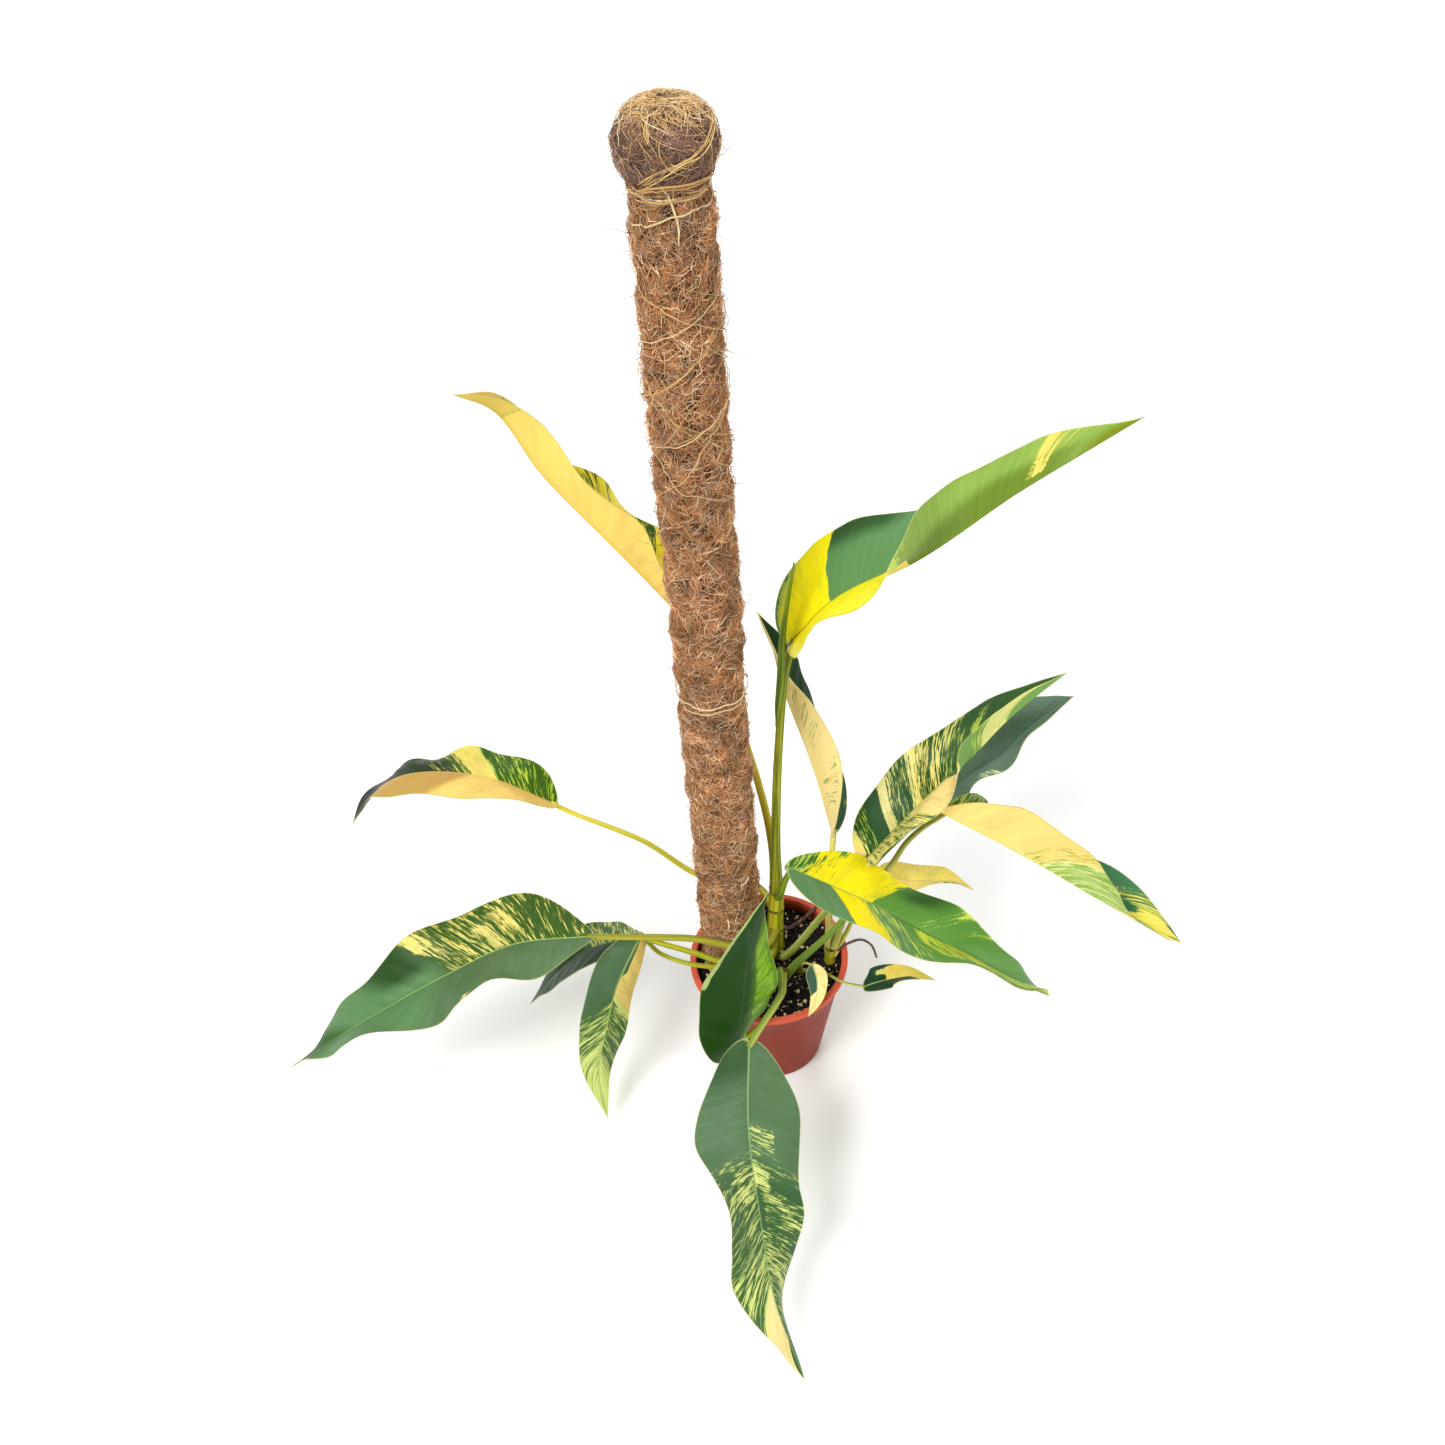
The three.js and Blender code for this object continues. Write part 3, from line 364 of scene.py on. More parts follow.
# Markings of each leaf. Colours are the green ground and the pale mark, above and on the
# back, the midrib, and the stalk's ground and streaks; the streaks' tone is also painted
# as light on one side of the stalk. A mark is the half, where its veins leave the midrib,
# the shares of the half width, how full it is, and its tone.
# NONE leaves the ground bare, FULL covers it, and 0 to 1 is streaked along the veins.
# A wash is a face and a half, the same shares, and the ground's tone there. lean is how
# far the veins slope towards the tip, and tip is where the drawn-out end changes tone.
NONE = -3
FULL = 4
LEFT, RIGHT, BOTH = -1, 1, 0
UPPER, BACK = 0, 1
HALVES = {LEFT: "left", RIGHT: "right"}
MARKINGS = {
    "leaf_01": {
        "ground": ("deep", "back green"),
        "pale": ("sun", "#f2cf66"),
        "rib": "#b9b03a",
        "tip": (0.8, "#edcb60", NONE),
        "stalk": ("olive", "stalk yellow", 0.45),
        "marks": [
            (BOTH, -1, 2, 0, 1, FULL),
            (RIGHT, 0.12, 0.19, 0.35, 1, 0.3),
            (RIGHT, 0.27, 0.42, 0.6, 1, 0.55),
        ],
    },
    "leaf_02": {
        "ground": ("soft green", "back green"),
        "pale": ("#f6ea08", "custard"),
        "rib": "#7d8b2a",
        "lean": 0.55,
        "stalk": ("#6c7a1e", "stalk yellow", 0.4),
        "marks": [
            (LEFT, -1, 0.156, 0, 1, FULL),
            (LEFT, -1, 0.08, 0.85, 1, 0.3, "lime"),
            (RIGHT, -1, 0.36, 0, 1, FULL),
            (RIGHT, 0.36, 0.41, 0.5, 1, 0.2, "lime"),
            (RIGHT, 0.69, 0.725, 0.1, 1, 0.9),
            (RIGHT, 0.725, 0.8, 0.35, 1, 0.25),
            (RIGHT, 0.86, 1, 0.6, 1, 0.5, "#c3c430"),
            (LEFT, 0.8, 1, 0.1, 0.8, 0.45, "#c3c430"),
        ],
        "washes": [
            (BACK, RIGHT, 0.5, 1, 0.35, 1, "#8fae4c"),
            (BACK, RIGHT, -1, 0.8, 0, 0.5, "back dark"),
            (BACK, BOTH, 0.85, 2, 0, 1, "#76860f"),
            (UPPER, LEFT, 0.1, 0.3, 0.75, 1, "#35562c"),
        ],
    },
    "leaf_03": {
        "ground": ("#1d3c20", "#7b9a4a"),
        "pale": ("cream", "cream"),
        "rib": "cream",
        "stalk": ("stalk yellow", "butter", 0.4),
        "marks": [
            (LEFT, -1, 2, 0, 1, FULL),
            (LEFT, 0.1, 0.3, 0.15, 0.95, 0.82),
            (LEFT, 0.34, 0.68, 0.1, 0.8, 0.78),
            (RIGHT, -1, 0.05, 0.7, 1, 0.2),
        ],
        "washes": [(UPPER, RIGHT, -1, 0.3, 0, 1, "#3b6050")],
    },
    "leaf_04": {
        "ground": ("deep", "#7aa050"),
        "pale": ("butter", "cream"),
        "rib": "#6f8a44",
        "stalk": ("#7c8a36", "#dcd084", 0.35),
        "marks": [
            (LEFT, -1, -0.02, 0.3, 1, FULL, "#f6d88b"),
            (LEFT, -0.02, 0.025, 0, 1, 0.42),
            (LEFT, 0.025, 0.08, 0, 1, 0.22, "lime"),
            (LEFT, 0.127, 0.142, 0, 1, FULL, "#dfd68e"),
            (LEFT, 0.142, 0.19, 0, 1, 0.35, "#dfd68e"),
            (LEFT, 0.19, 0.26, 0, 1, 0.12, "#cfcf78"),
            (LEFT, 0.26, 0.28, 0, 1, 1.4, "#dfd68e"),
            (LEFT, 0.28, 0.34, 0, 1, 0.36),
            (LEFT, 0.34, 0.42, 0, 1, 0.42, "#e9d97c"),
            (LEFT, 0.42, 0.5, 0, 0.7, 0.25, "lime"),
            (LEFT, 0.5, 0.57, 0.25, 0.9, 0.45, "lime"),
            (LEFT, 0.62, 0.82, 0, 0.35, 1.2, "cream"),
            (RIGHT, -1, 0.1, 0, 1, 0.72),
            (RIGHT, 0.1, 0.24, 0, 1, 0.5),
            (RIGHT, 0.24, 0.4, 0, 1, FULL, "#f6d88b"),
            (RIGHT, 0.5, 0.58, 0, 1, 0.3, "lime"),
            (RIGHT, 0.58, 0.74, 0, 1, 1.1, "pale lime"),
        ],
        "washes": [
            (UPPER, LEFT, 0.08, 0.24, 0, 1, "slate"),
            (UPPER, LEFT, 0.42, 1, 0, 1, "#35582f"),
            (UPPER, RIGHT, -1, 1, 0, 1, "#4f7048"),
        ],
    },
    "leaf_05": {
        "ground": ("#6c8674", "back green"),
        "pale": ("#e3e6ba", "pale lime"),
        "rib": "#71906a",
        "stalk": ("stalk green", "lime", 0.2),
        "marks": [
            (RIGHT, 0.22, 0.36, 0.5, 1, 0.5),
            (LEFT, 0.47, 0.5, 0, 0.25, 0.6),
            (LEFT, 0.3, 0.6, 0.5, 1, 0.1),
        ],
        "washes": [(UPPER, RIGHT, 0.3, 1, 0.5, 1, "#587059")],
    },
    "leaf_06": {
        "ground": ("#407649", "#86a73e"),
        "pale": ("#efdf62", "#f4d37a"),
        "rib": "#d9c83c",
        "stalk": ("#66752c", "#cfc46c", 0.35),
        "marks": [
            (RIGHT, -1, 0.3, 0, 1, FULL),
            (RIGHT, 0.3, 0.4, 0, 1, 0.72),
            (RIGHT, 0.4, 0.7, 0, 1, 0.42, "#d4e090"),
            (RIGHT, 0.7, 2, 0, 1, 1.3),
            (LEFT, -1, 0.2, 0, 1, 0.25, "lime"),
            (LEFT, 0.3, 0.42, 0, 1, 0.8),
            (LEFT, 0.56, 0.7, 0.3, 1, 0.34),
            (LEFT, 0.7, 0.9, 0, 0.75, 1.2),
        ],
        "washes": [(UPPER, LEFT, -1, 0.2, 0, 1, "#33562a"), (BACK, RIGHT, 0.4, 1, 0.1, 0.6, "#a4c05c")],
    },
    "leaf_07": {
        "ground": ("leaf green", "back green"),
        "pale": ("lemon", "butter"),
        "rib": "#7f9440",
        "stalk": ("dark olive", "olive", 0.5),
        "marks": [
            (LEFT, -1, 0.03, 0, 1, 0.36, "lime"),
            (LEFT, 0.03, 0.1, 0, 1, 0.78),
            (LEFT, 0.1, 0.215, 0, 1, 1.3),
            (LEFT, 0.215, 0.27, 0, 1, 0.95),
            (LEFT, 0.39, 0.46, 0, 1, 0.36, "lime"),
            (LEFT, 0.47, 0.53, 0.3, 1, 0.3, "lime"),
            (LEFT, 0.3, 0.9, 0.96, 1, 0.8, "lime"),
            (RIGHT, 0.115, 0.21, 0, 1, 1.3),
            (RIGHT, 0.21, 0.25, 0, 1, 0.7),
            (RIGHT, 0.25, 0.34, 0, 1, 0.22, "lime"),
            (RIGHT, 0.34, 0.4, 0.1, 0.8, 0.25, "lime"),
            (RIGHT, 0.4, 0.5, 0.04, 0.92, 0.5, "#cdd63a"),
            (RIGHT, 0.5, 0.58, 0.04, 0.85, 0.6, "#d6da36"),
            (RIGHT, 0.58, 0.64, 0.1, 0.9, 0.5, "#d6da36"),
            (RIGHT, 0.64, 0.8, 0.4, 1, 0.62, "#d6da36"),
        ],
        "washes": [
            (UPPER, RIGHT, -1, 0.34, 0, 1, "grey green"),
            (UPPER, LEFT, -1, 0.05, 0, 1, "#33682a"),
            (UPPER, BOTH, 0.6, 0.9, 0, 1, "bright green"),
            (UPPER, BOTH, 0.9, 2, 0, 1, "#46702f"),
            (UPPER, LEFT, 0.26, 0.37, 0.5, 1, "#2c501e"),
        ],
    },
    "leaf_08": {
        "ground": ("#3d5f33", "back green"),
        "pale": ("custard", "cream"),
        "rib": "#e6c962",
        "stalk": ("olive", "butter", 0.5),
        "marks": [(BOTH, -1, 2, 0, 1, FULL), (RIGHT, 0.3, 2, 0.72, 1, 0.5), (RIGHT, -1, 0.3, 0.8, 1, 0.8)],
    },
    "leaf_09": {
        "ground": ("#5c8a2c", "back green"),
        "pale": ("custard", "peach"),
        "rib": "#dcb868",
        "stalk": ("#a59d2a", "#f2de4c", 0.6),
        "tip": (0.72, "tip dark", NONE),
        "marks": [
            (LEFT, -1, 0.34, 0, 1, FULL, "#edc468"),
            (LEFT, 0.34, 2, 0, 1, FULL, "peach"),
            (RIGHT, -1, 0.17, 0, 1, 0.2, "#b4cf3e"),
            (RIGHT, 0.17, 0.24, 0, 1, 0.05, "lime"),
            (RIGHT, 0.24, 0.3, 0, 1, FULL),
            (RIGHT, 0.3, 0.36, 0, 1, 0.4),
            (RIGHT, 0.36, 0.48, 0, 1, 0.0),
            (BOTH, 0.72, 2, 0, 1, NONE),
        ],
        "washes": [
            (UPPER, RIGHT, -1, 0.34, 0, 1, "#3a5e0a"),
            (UPPER, RIGHT, 0.34, 2, 0, 1, "#27371f"),
            (UPPER, LEFT, 0.7, 2, 0, 1, "tip dark"),
        ],
    },
    "leaf_10": {
        "ground": ("#608656", "back green"),
        "pale": ("butter", "butter"),
        "rib": "#9db868",
        "lean": 0.7,
        "stalk": ("dark olive", "#b3a834", 0.5),
        "tip": (0.94, "dry", NONE),
        "marks": [
            (RIGHT, -0.03, 0.14, 0, 1, 0.08),
            (RIGHT, 0.14, 0.32, 0, 1, 0.22),
            (RIGHT, 0.32, 0.4, 0, 1, 0.32),
            (RIGHT, 0.36, 0.4, 0.55, 1, 1.0),
            (RIGHT, 0.22, 0.255, 0.05, 0.6, 0.95),
            (RIGHT, 0.155, 0.185, 0.35, 0.85, 0.8),
            (LEFT, 0.27, 0.31, 0.86, 1, 1.0, "cream"),
            (LEFT, 0.74, 0.8, 0.8, 1, 1.0, "cream"),
        ],
        "washes": [
            (UPPER, RIGHT, -1, 0.4, 0, 1, "#3b5a20"),
            (UPPER, LEFT, -1, 0.42, 0, 1, "#5a7550"),
            (UPPER, RIGHT, 0.38, 0.54, 0.3, 1, "#2a4c20"),
            (UPPER, BOTH, 0.74, 2, 0, 1, "#3e6230"),
        ],
    },
    "leaf_11": {
        "ground": ("#23401f", "back green"),
        "pale": ("pale lime", "pale lime"),
        "rib": "#6e8a52",
        "stalk": ("olive", "stalk yellow", 0.4),
        "marks": [(RIGHT, -1, 0.35, 0, 1, 0.36)],
        "washes": [(UPPER, RIGHT, -1, 0.4, 0, 1, "#4d6b47")],
    },
    "leaf_12": {
        "ground": ("#406030", "back green"),
        "pale": ("#cfd97c", "pale lime"),
        "rib": "#9fb45c",
        "stalk": ("stalk yellow", "olive", 0.4),
        "marks": [
            (LEFT, -0.06, 0.3, 0.22, 1, FULL, "#f0cf72"),
            (LEFT, 0.18, 0.3, 0.02, 1, FULL, "#f0cf72"),
            (LEFT, 0.3, 0.62, 0, 1, 0.2),
            (LEFT, 0.62, 2, 0, 1, 0.9),
            (RIGHT, 0.3, 0.42, 0, 1, 0.35),
            (RIGHT, 0.42, 0.55, 0, 1, 0.5),
            (RIGHT, 0.55, 2, 0, 1, 0.7),
        ],
        "washes": [(UPPER, BOTH, -1, 0.3, 0, 1, "#4c6847")],
    },
    "leaf_13": {
        "ground": ("glossy dark", "back green"),
        "pale": ("chartreuse", "lime"),
        "rib": "#2c5210",
        "stalk": ("stalk yellow", "olive", 0.5),
        "marks": [
            (LEFT, 0.35, 2, 0.88, 1, FULL, "#9fb56f"),
            (RIGHT, 0.5, 0.9, 0.93, 1, FULL, "#b9cf7c"),
            (RIGHT, 0.14, 0.66, 0.28, 0.95, 0.45, "#86b30c"),
            (RIGHT, -1, 0.12, 0.0, 0.4, 0.9, "#86b814"),
        ],
        "washes": [
            (UPPER, RIGHT, 0.08, 0.72, 0.3, 1, "#568606"),
            (UPPER, RIGHT, 0.0, 0.2, 0.05, 0.4, "#4f8010"),
        ],
    },
    "leaf_14": {
        "ground": ("#4f7049", "back green"),
        "pale": ("#cdd67c", "pale lime"),
        "rib": "#8fb070",
        "lean": 0.62,
        "stalk": ("stalk green", "#b9b85a", 0.2),
        "marks": [
            (LEFT, 0.2, 0.28, 0, 0.55, 0.35),
            (LEFT, 0.28, 0.34, 0, 1, 0.05),
            (LEFT, 0.34, 0.38, 0, 0.3, 0.9),
            (LEFT, 0.38, 0.5, 0.05, 1, 0.3),
            (LEFT, 0.5, 0.56, 0, 1, 0.1),
            (LEFT, 0.56, 0.72, 0, 1, 0.4),
            (LEFT, 0.72, 0.9, 0, 1, 0.15),
            (RIGHT, 0.28, 0.36, 0, 1, 0.2),
            (RIGHT, 0.36, 0.42, 0, 1, 0.45),
            (RIGHT, 0.42, 0.56, 0, 1, 0.22),
            (RIGHT, 0.56, 0.7, 0, 1, 0.36),
            (RIGHT, 0.7, 0.86, 0, 1, FULL, "cream"),
        ],
        "washes": [
            (UPPER, RIGHT, -1, 0.1, 0, 1, "#3d5c36"),
            (UPPER, RIGHT, 0.1, 0.34, 0, 1, "#5e7b58"),
            (UPPER, LEFT, -1, 0.34, 0, 1, "#54714c"),
            (UPPER, BOTH, 0.34, 1, 0, 1, "#3b5e33"),
        ],
    },
    "leaf_15": {
        "ground": ("#3b5a44", "back green"),
        "pale": ("cream", "cream"),
        "rib": "#b9bf80",
        "stalk": ("stalk green", "butter", 0.4),
        "marks": [(BOTH, -1, 2, 0, 1, FULL), (RIGHT, -1, 0.5, 0, 1, NONE)],
    },
    "leaf_16": {
        "ground": ("#20402c", "back green"),
        "pale": ("pale lime", "cream"),
        "rib": "#a9bd74",
        "stalk": ("stalk green", "butter", 0.3),
        "marks": [
            (LEFT, 0.1, 0.3, 0.3, 0.8, 0.4),
            (LEFT, 0.3, 2, 0, 1, FULL, "custard"),
            (RIGHT, 0.62, 2, 0, 1, FULL, "custard"),
        ],
    },
}

# Cross section of a blade: shares of the half width with a column of points
BLADE_COLUMNS = [0, 0.02, 0.045, 0.09, 0.16, 0.25, 0.35, 0.45, 0.55, 0.65, 0.75, 0.84, 0.92, 0.97, 1]
BLADE = {
    "mid": 1.1,
    "edge": 0.6,
    "rib": 2.2,
    "rib_stalk": 4,
    "rib_half": 2.2,
    "rib_taper": 0.7,
    "groove": 0.4,
    "groove_half": 1.4,
    "arch": -14,
    "lobe": 8,
    "lobe_length": 0.3,
    "lobe_width": 50,
    "tip": 0.5,
    "row": 2.5,
    "rows_least": 40,
    "rows_most": 132,
}
# Outline of a blade: how round the base is and how long the tip is drawn out
OUTLINE = {"base": 7, "base_round": 0.62, "tip": 2.6, "tip_fine": 1.1}
# Veins: their slope and relief, and how far from midrib and margin the relief starts
VEINS = {
    "lag": 0.06,
    "lag_growth": 0.2,
    "slant": 1.15,
    "pitch": 17,
    "quilt": 0.4,
    "rib_clear": 8,
    "edge_clear": 5,
    "buckle": 0.7,
    "buckle_length": 46,
    "buckle_clear": 14,
    "buckle_width": 45,
}
STALK = {
    "sheath": 0.45,
    "sheath_length": 0.3,
    "taper": 0.34,
    "channel": 0.3,
    "knee": 0.08,
    "knee_place": 0.95,
    "knee_half": 9,
    "wing": 0.16,
    "wing_half": 0.22,
    "wing_places": (0.28, 0.72),
    "sides": 20,
    "step": 3.5,
    "rows_least": 14,
    "stripe": 0.12,
    "stripe_width": 2.4,
    "lit_from": 3.4,
    "bare": 0.1,
    "under": 0.3,
}
# How soft a mark's edges are along and across the blade in millimetres, how many times
# softer a wash's are, and the share of the blade over which a tip changes
MARK_EASE = {"along": 11, "across": 6, "wash": 3, "tip": 0.03}


def smooth(x):
    """Smooth step from 0 to 1."""
    x = np.clip(x, 0, 1)
    return x * x * (3 - 2 * x)


def unit(vectors):
    """Vectors of length one along the last axis."""
    return vectors / np.maximum(np.linalg.norm(vectors, axis=-1, keepdims=True), 1e-12)


def along(stations, t):
    """Values at shares t along evenly spaced stations, passing smoothly through them."""
    v = np.asarray(stations, float)
    last = len(v) - 1
    x = np.clip(t, 0, 1) * last
    i = np.minimum(x.astype(int), last - 1)
    b, c = v[i], v[i + 1]
    spread = x.shape + (1,) * (v.ndim - 1)
    w, first, end = (each.reshape(spread) for each in (x - i, i == 0, i + 2 > last))
    a = np.where(first, 2 * b - c, v[np.maximum(i - 1, 0)])
    d = np.where(end, 2 * c - b, v[np.minimum(i + 2, last)])
    return b + 0.5 * w * (c - a + w * (2 * a - 5 * b + 4 * c - d + w * (3 * (b - c) + d - a)))


def shift(base, goal, share):
    """Colours moved by a share of the way to a tone."""
    return base + (np.array(tone(goal)) - base) * share[..., None]


def ring_quads(rows, around):
    """Point numbers of rings that follow each other, and the quads between the rings."""
    index = np.arange(rows * around).reshape(rows, around)
    beside = np.roll(index, -1, axis=1)
    return index, np.stack([index[:-1], beside[:-1], beside[1:], index[1:]], -1)


def end_fans(index):
    """Triangles from the first and last rings to two centre points that follow the rings."""
    beside = np.roll(index, -1, axis=1)
    low = [(index.size, b, a) for a, b in zip(index[0], beside[0])]
    return low + [(index.size + 1, a, b) for a, b in zip(index[-1], beside[-1])]


class Route:
    """A centripetal curve through points, read by the share of its length."""

    def __init__(self, points, steps=60):
        p = np.asarray(points, float)
        p = np.vstack([2 * p[0] - p[1], p, 2 * p[-1] - p[-2]])
        gaps = np.linalg.norm(np.diff(p, axis=0), axis=1) ** 0.5
        line = []
        for i in range(1, len(p) - 2):
            d0, d1, d2 = gaps[i - 1], gaps[i], gaps[i + 1]
            t1 = ((p[i] - p[i - 1]) / d0 - (p[i + 1] - p[i - 1]) / (d0 + d1)) * d1 + p[i + 1] - p[i]
            t2 = p[i + 1] - p[i] - ((p[i + 2] - p[i]) / (d1 + d2) - (p[i + 2] - p[i + 1]) / d2) * d1
            w = np.linspace(0, 1, steps, endpoint=i == len(p) - 3)[:, None]
            rise = -3 * p[i] + 3 * p[i + 1] - 2 * t1 - t2
            line.append(p[i] + t1 * w + rise * w**2 + (2 * p[i] - 2 * p[i + 1] + t1 + t2) * w**3)
        self.line = np.vstack(line)
        self.reach = np.r_[0, np.cumsum(np.linalg.norm(np.diff(self.line, axis=0), axis=1))]
        self.length = self.reach[-1]

    def at(self, share):
        """Points at shares of the length."""
        return np.stack([np.interp(share * self.length, self.reach, c) for c in self.line.T], -1)

    def ahead(self, share):
        """The way that the curve runs at shares of the length."""
        step = 2 / len(self.line)
        return unit(self.at(np.minimum(share + step, 1)) - self.at(np.maximum(share - step, 0)))


def ripple(points, wave, seed, count=14):
    """Smooth seeded noise of about unit height over points, from crossing sine waves."""
    rng = np.random.default_rng(seed)
    directions = unit(rng.normal(size=(count, 3))) * rng.uniform(0.7, 1.4, (count, 1)) * TURN / wave
    phases = rng.uniform(0, TURN, count)
    return np.sin(points @ directions.T + phases).sum(-1) * (2 / count) ** 0.5


class Skin:
    """Points, faces and surface values of one piece, gathered from its shapes."""

    def __init__(self):
        self.points, self.quads, self.triangles, self.values, self.count = [], [], [], {}, 0

    def add(self, points, quads=(), triangles=(), **values):
        """Adds a shape. A value is one number or colour, or one for each point."""
        points = np.asarray(points, float).reshape(-1, 3)
        self.points.append(points)
        self.quads.append(np.asarray(quads, int).reshape(-1, 4) + self.count)
        self.triangles.append(np.asarray(triangles, int).reshape(-1, 3) + self.count)
        for name, value in values.items():
            value = np.asarray(value, float)
            wide = () if value.ndim == 0 or value.shape == (len(points),) else value.shape[-1:]
            self.values.setdefault(name, []).append(np.broadcast_to(value, (len(points),) + wide))
        self.count += len(points)

    def add_tubes(self, paths, normals, across, deep, sides=3, **values):
        """Closed tubes along paths of shape (tubes, steps, 3), flat where deep is less than across.
        Values come as one number or colour, or as (tubes, steps or 1), colours with 3 more."""
        tubes, steps, _ = paths.shape
        ahead = unit(np.gradient(paths, axis=1))
        side = unit(np.cross(ahead, normals))
        out = np.cross(side, ahead)
        angles = (np.arange(sides) + 0.5) / sides * TURN
        across, deep = (np.broadcast_to(v, (tubes, steps))[..., None, None] for v in (across, deep))
        sideways = side[:, :, None] * across * np.cos(angles)[:, None]
        outwards = out[:, :, None] * deep * np.sin(angles)[:, None]
        points = paths[:, :, None] + (sideways + outwards)
        index = np.arange(tubes * steps * sides).reshape(tubes, steps, sides)
        turned = np.roll(index, -1, axis=2)
        quads = np.stack([index[:, :-1], index[:, 1:], turned[:, 1:], turned[:, :-1]], -1)
        caps = []
        for j in range(1, sides - 1):
            caps.append(np.stack([index[:, 0, 0], index[:, 0, j], index[:, 0, j + 1]], -1))
            caps.append(np.stack([index[:, -1, 0], index[:, -1, j + 1], index[:, -1, j]], -1))
        spread = {}
        for name, value in values.items():
            value = np.asarray(value, float)
            if value.ndim < 4:
                wide = value.shape[-1:] if value.ndim in (1, 3) else ()
                value = np.broadcast_to(value, (tubes, steps) + wide)[:, :, None].repeat(sides, axis=2)
            spread[name] = value.reshape(-1, *value.shape[3:])
        self.add(points, quads, np.concatenate(caps), **spread)

    def build(self, name, finish, slot, *nodes):
        """Makes the object, which rides on the plant's only body and stands for nodes."""
        points = np.concatenate(self.points) * MM
        quads, triangles = np.concatenate(self.quads), np.concatenate(self.triangles)
        mesh = bpy.data.meshes.new(name)
        mesh.vertices.add(len(points))
        mesh.vertices.foreach_set("co", points.ravel())
        mesh.loops.add(quads.size + triangles.size)
        mesh.loops.foreach_set("vertex_index", np.r_[quads.ravel(), triangles.ravel()])
        mesh.polygons.add(len(quads) + len(triangles))
        starts = np.r_[np.arange(len(quads)) * 4, quads.size + np.arange(len(triangles)) * 3]
        mesh.polygons.foreach_set("loop_start", starts)
        mesh.update(calc_edges=True)
        mesh.validate()
        mesh.shade_smooth()
        for key, parts in self.values.items():
            value = np.concatenate(parts)
            if value.ndim == 1:
                mesh.attributes.new(key, "FLOAT", "POINT").data.foreach_set("value", value)
            elif key == "vein":
                mesh.attributes.new(key, "FLOAT_VECTOR", "POINT").data.foreach_set("vector", value.ravel())
            else:
                value = np.c_[value, np.ones(len(value))]
                mesh.attributes.new(key, "FLOAT_COLOR", "POINT").data.foreach_set("color", value.ravel())
        piece = bpy.data.objects.new(name, mesh)
        bpy.context.scene.collection.objects.link(piece)
        mesh.materials.append(finish)
        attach(piece, "root")
        if nodes:
            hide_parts(*nodes)
        return piece


class Reading:
    """A shader socket that is used in expressions. Each operator adds a Math node."""

    def __init__(self, finish, socket):
        self.finish, self.socket = finish, socket

    def math(self, operation, *values, clamp=False):
        settings = {"operation": operation, "use_clamp": clamp}
        return self.finish.node("ShaderNodeMath", settings, dict(enumerate(values)))

    def __add__(self, other):
        return self.math("ADD", self, other)

    __radd__ = __add__

    def __sub__(self, other):
        return self.math("SUBTRACT", self, other)

    def __rsub__(self, other):
        return self.math("SUBTRACT", other, self)

    def __mul__(self, other):
        return self.math("MULTIPLY", self, other)

    __rmul__ = __mul__

    def __truediv__(self, other):
        return self.math("DIVIDE", self, other)

    def __rtruediv__(self, other):
        return self.math("DIVIDE", other, self)

    def power(self, other):
        return self.math("POWER", self, other)

    def sine(self):
        return self.math("SINE", self)

    def capped(self, low=0, high=1):
        return self.finish.node("ShaderNodeClamp", {}, {"Value": self, "Min": low, "Max": high})

    def step(self, low, high):
        """Smooth step of the reading from 0 at low to 1 at high."""
        settings = {"interpolation_type": "SMOOTHSTEP"}
        inputs = {"Value": self, "From Min": low, "From Max": high}
        return self.finish.node("ShaderNodeMapRange", settings, inputs)

    def scaled(self, *factors):
        return self.finish.node("ShaderNodeVectorMath", {"operation": "MULTIPLY"}, {0: self, 1: factors})


class Finish:
    """A material whose nodes are written as expressions."""

    def __init__(self, name, **constants):
        self.material = bpy.data.materials.new(name)
        self.material.use_nodes = True
        self.tree = self.material.node_tree
        self.shader = self.tree.nodes["Principled BSDF"]
        for key, value in constants.items():
            self.shader.inputs[key.replace("_", " ")].default_value = value

    def fill(self, socket, value):
        """Links a reading to a socket, or sets a number or colour on it."""
        if isinstance(value, Reading):
            self.tree.links.new(value.socket, socket)
        elif isinstance(value, (tuple, list)) and socket.type == "RGBA" and len(value) == 3:
            socket.default_value = (*value, 1)
        else:
            socket.default_value = value

    def node(self, kind, settings=None, inputs=None, output=0):
        """Adds a node with its settings and the values or links of its sockets."""
        node = self.tree.nodes.new(kind)
        for key, value in (settings or {}).items():
            setattr(node, key, value)
        for key, value in (inputs or {}).items():
            self.fill(node.inputs[key], value)
        return Reading(self, node.outputs[output])

    def surface(self, name, output="Fac"):
        """A value that the mesh carries at its points."""
        return self.node("ShaderNodeAttribute", {"attribute_name": name}, output=output)

    def place(self):
        """Position on the object in metres."""
        return self.node("ShaderNodeTexCoord", output="Object")

    def noise(self, vector, scale=1.0, detail=2.0, roughness=0.5, distortion=0.0):
        inputs = {"Vector": vector, "Scale": scale, "Detail": detail, "Roughness": roughness}
        return self.node("ShaderNodeTexNoise", {}, {**inputs, "Distortion": distortion})

    def blend(self, factor, a, b, mode="MIX"):
        """A mix of two colours, which are the node's sockets 6 and 7."""
        settings = {"data_type": "RGBA", "blend_type": mode}
        return self.node("ShaderNodeMix", settings, {0: factor, 6: a, 7: b}, output=2)

    def times(self, colour, factors):
        """The colour with each channel multiplied."""
        return self.blend(1.0, colour, factors, "MULTIPLY")

    def feed(self, socket, value):
        self.fill(self.shader.inputs[socket], value)

    def bump(self, height, distance, strength=1.0, under=None):
        inputs = {"Height": height, "Distance": distance, "Strength": strength}
        if under is not None:
            inputs["Normal"] = under
        return self.node("ShaderNodeBump", {}, inputs)


# Finishes

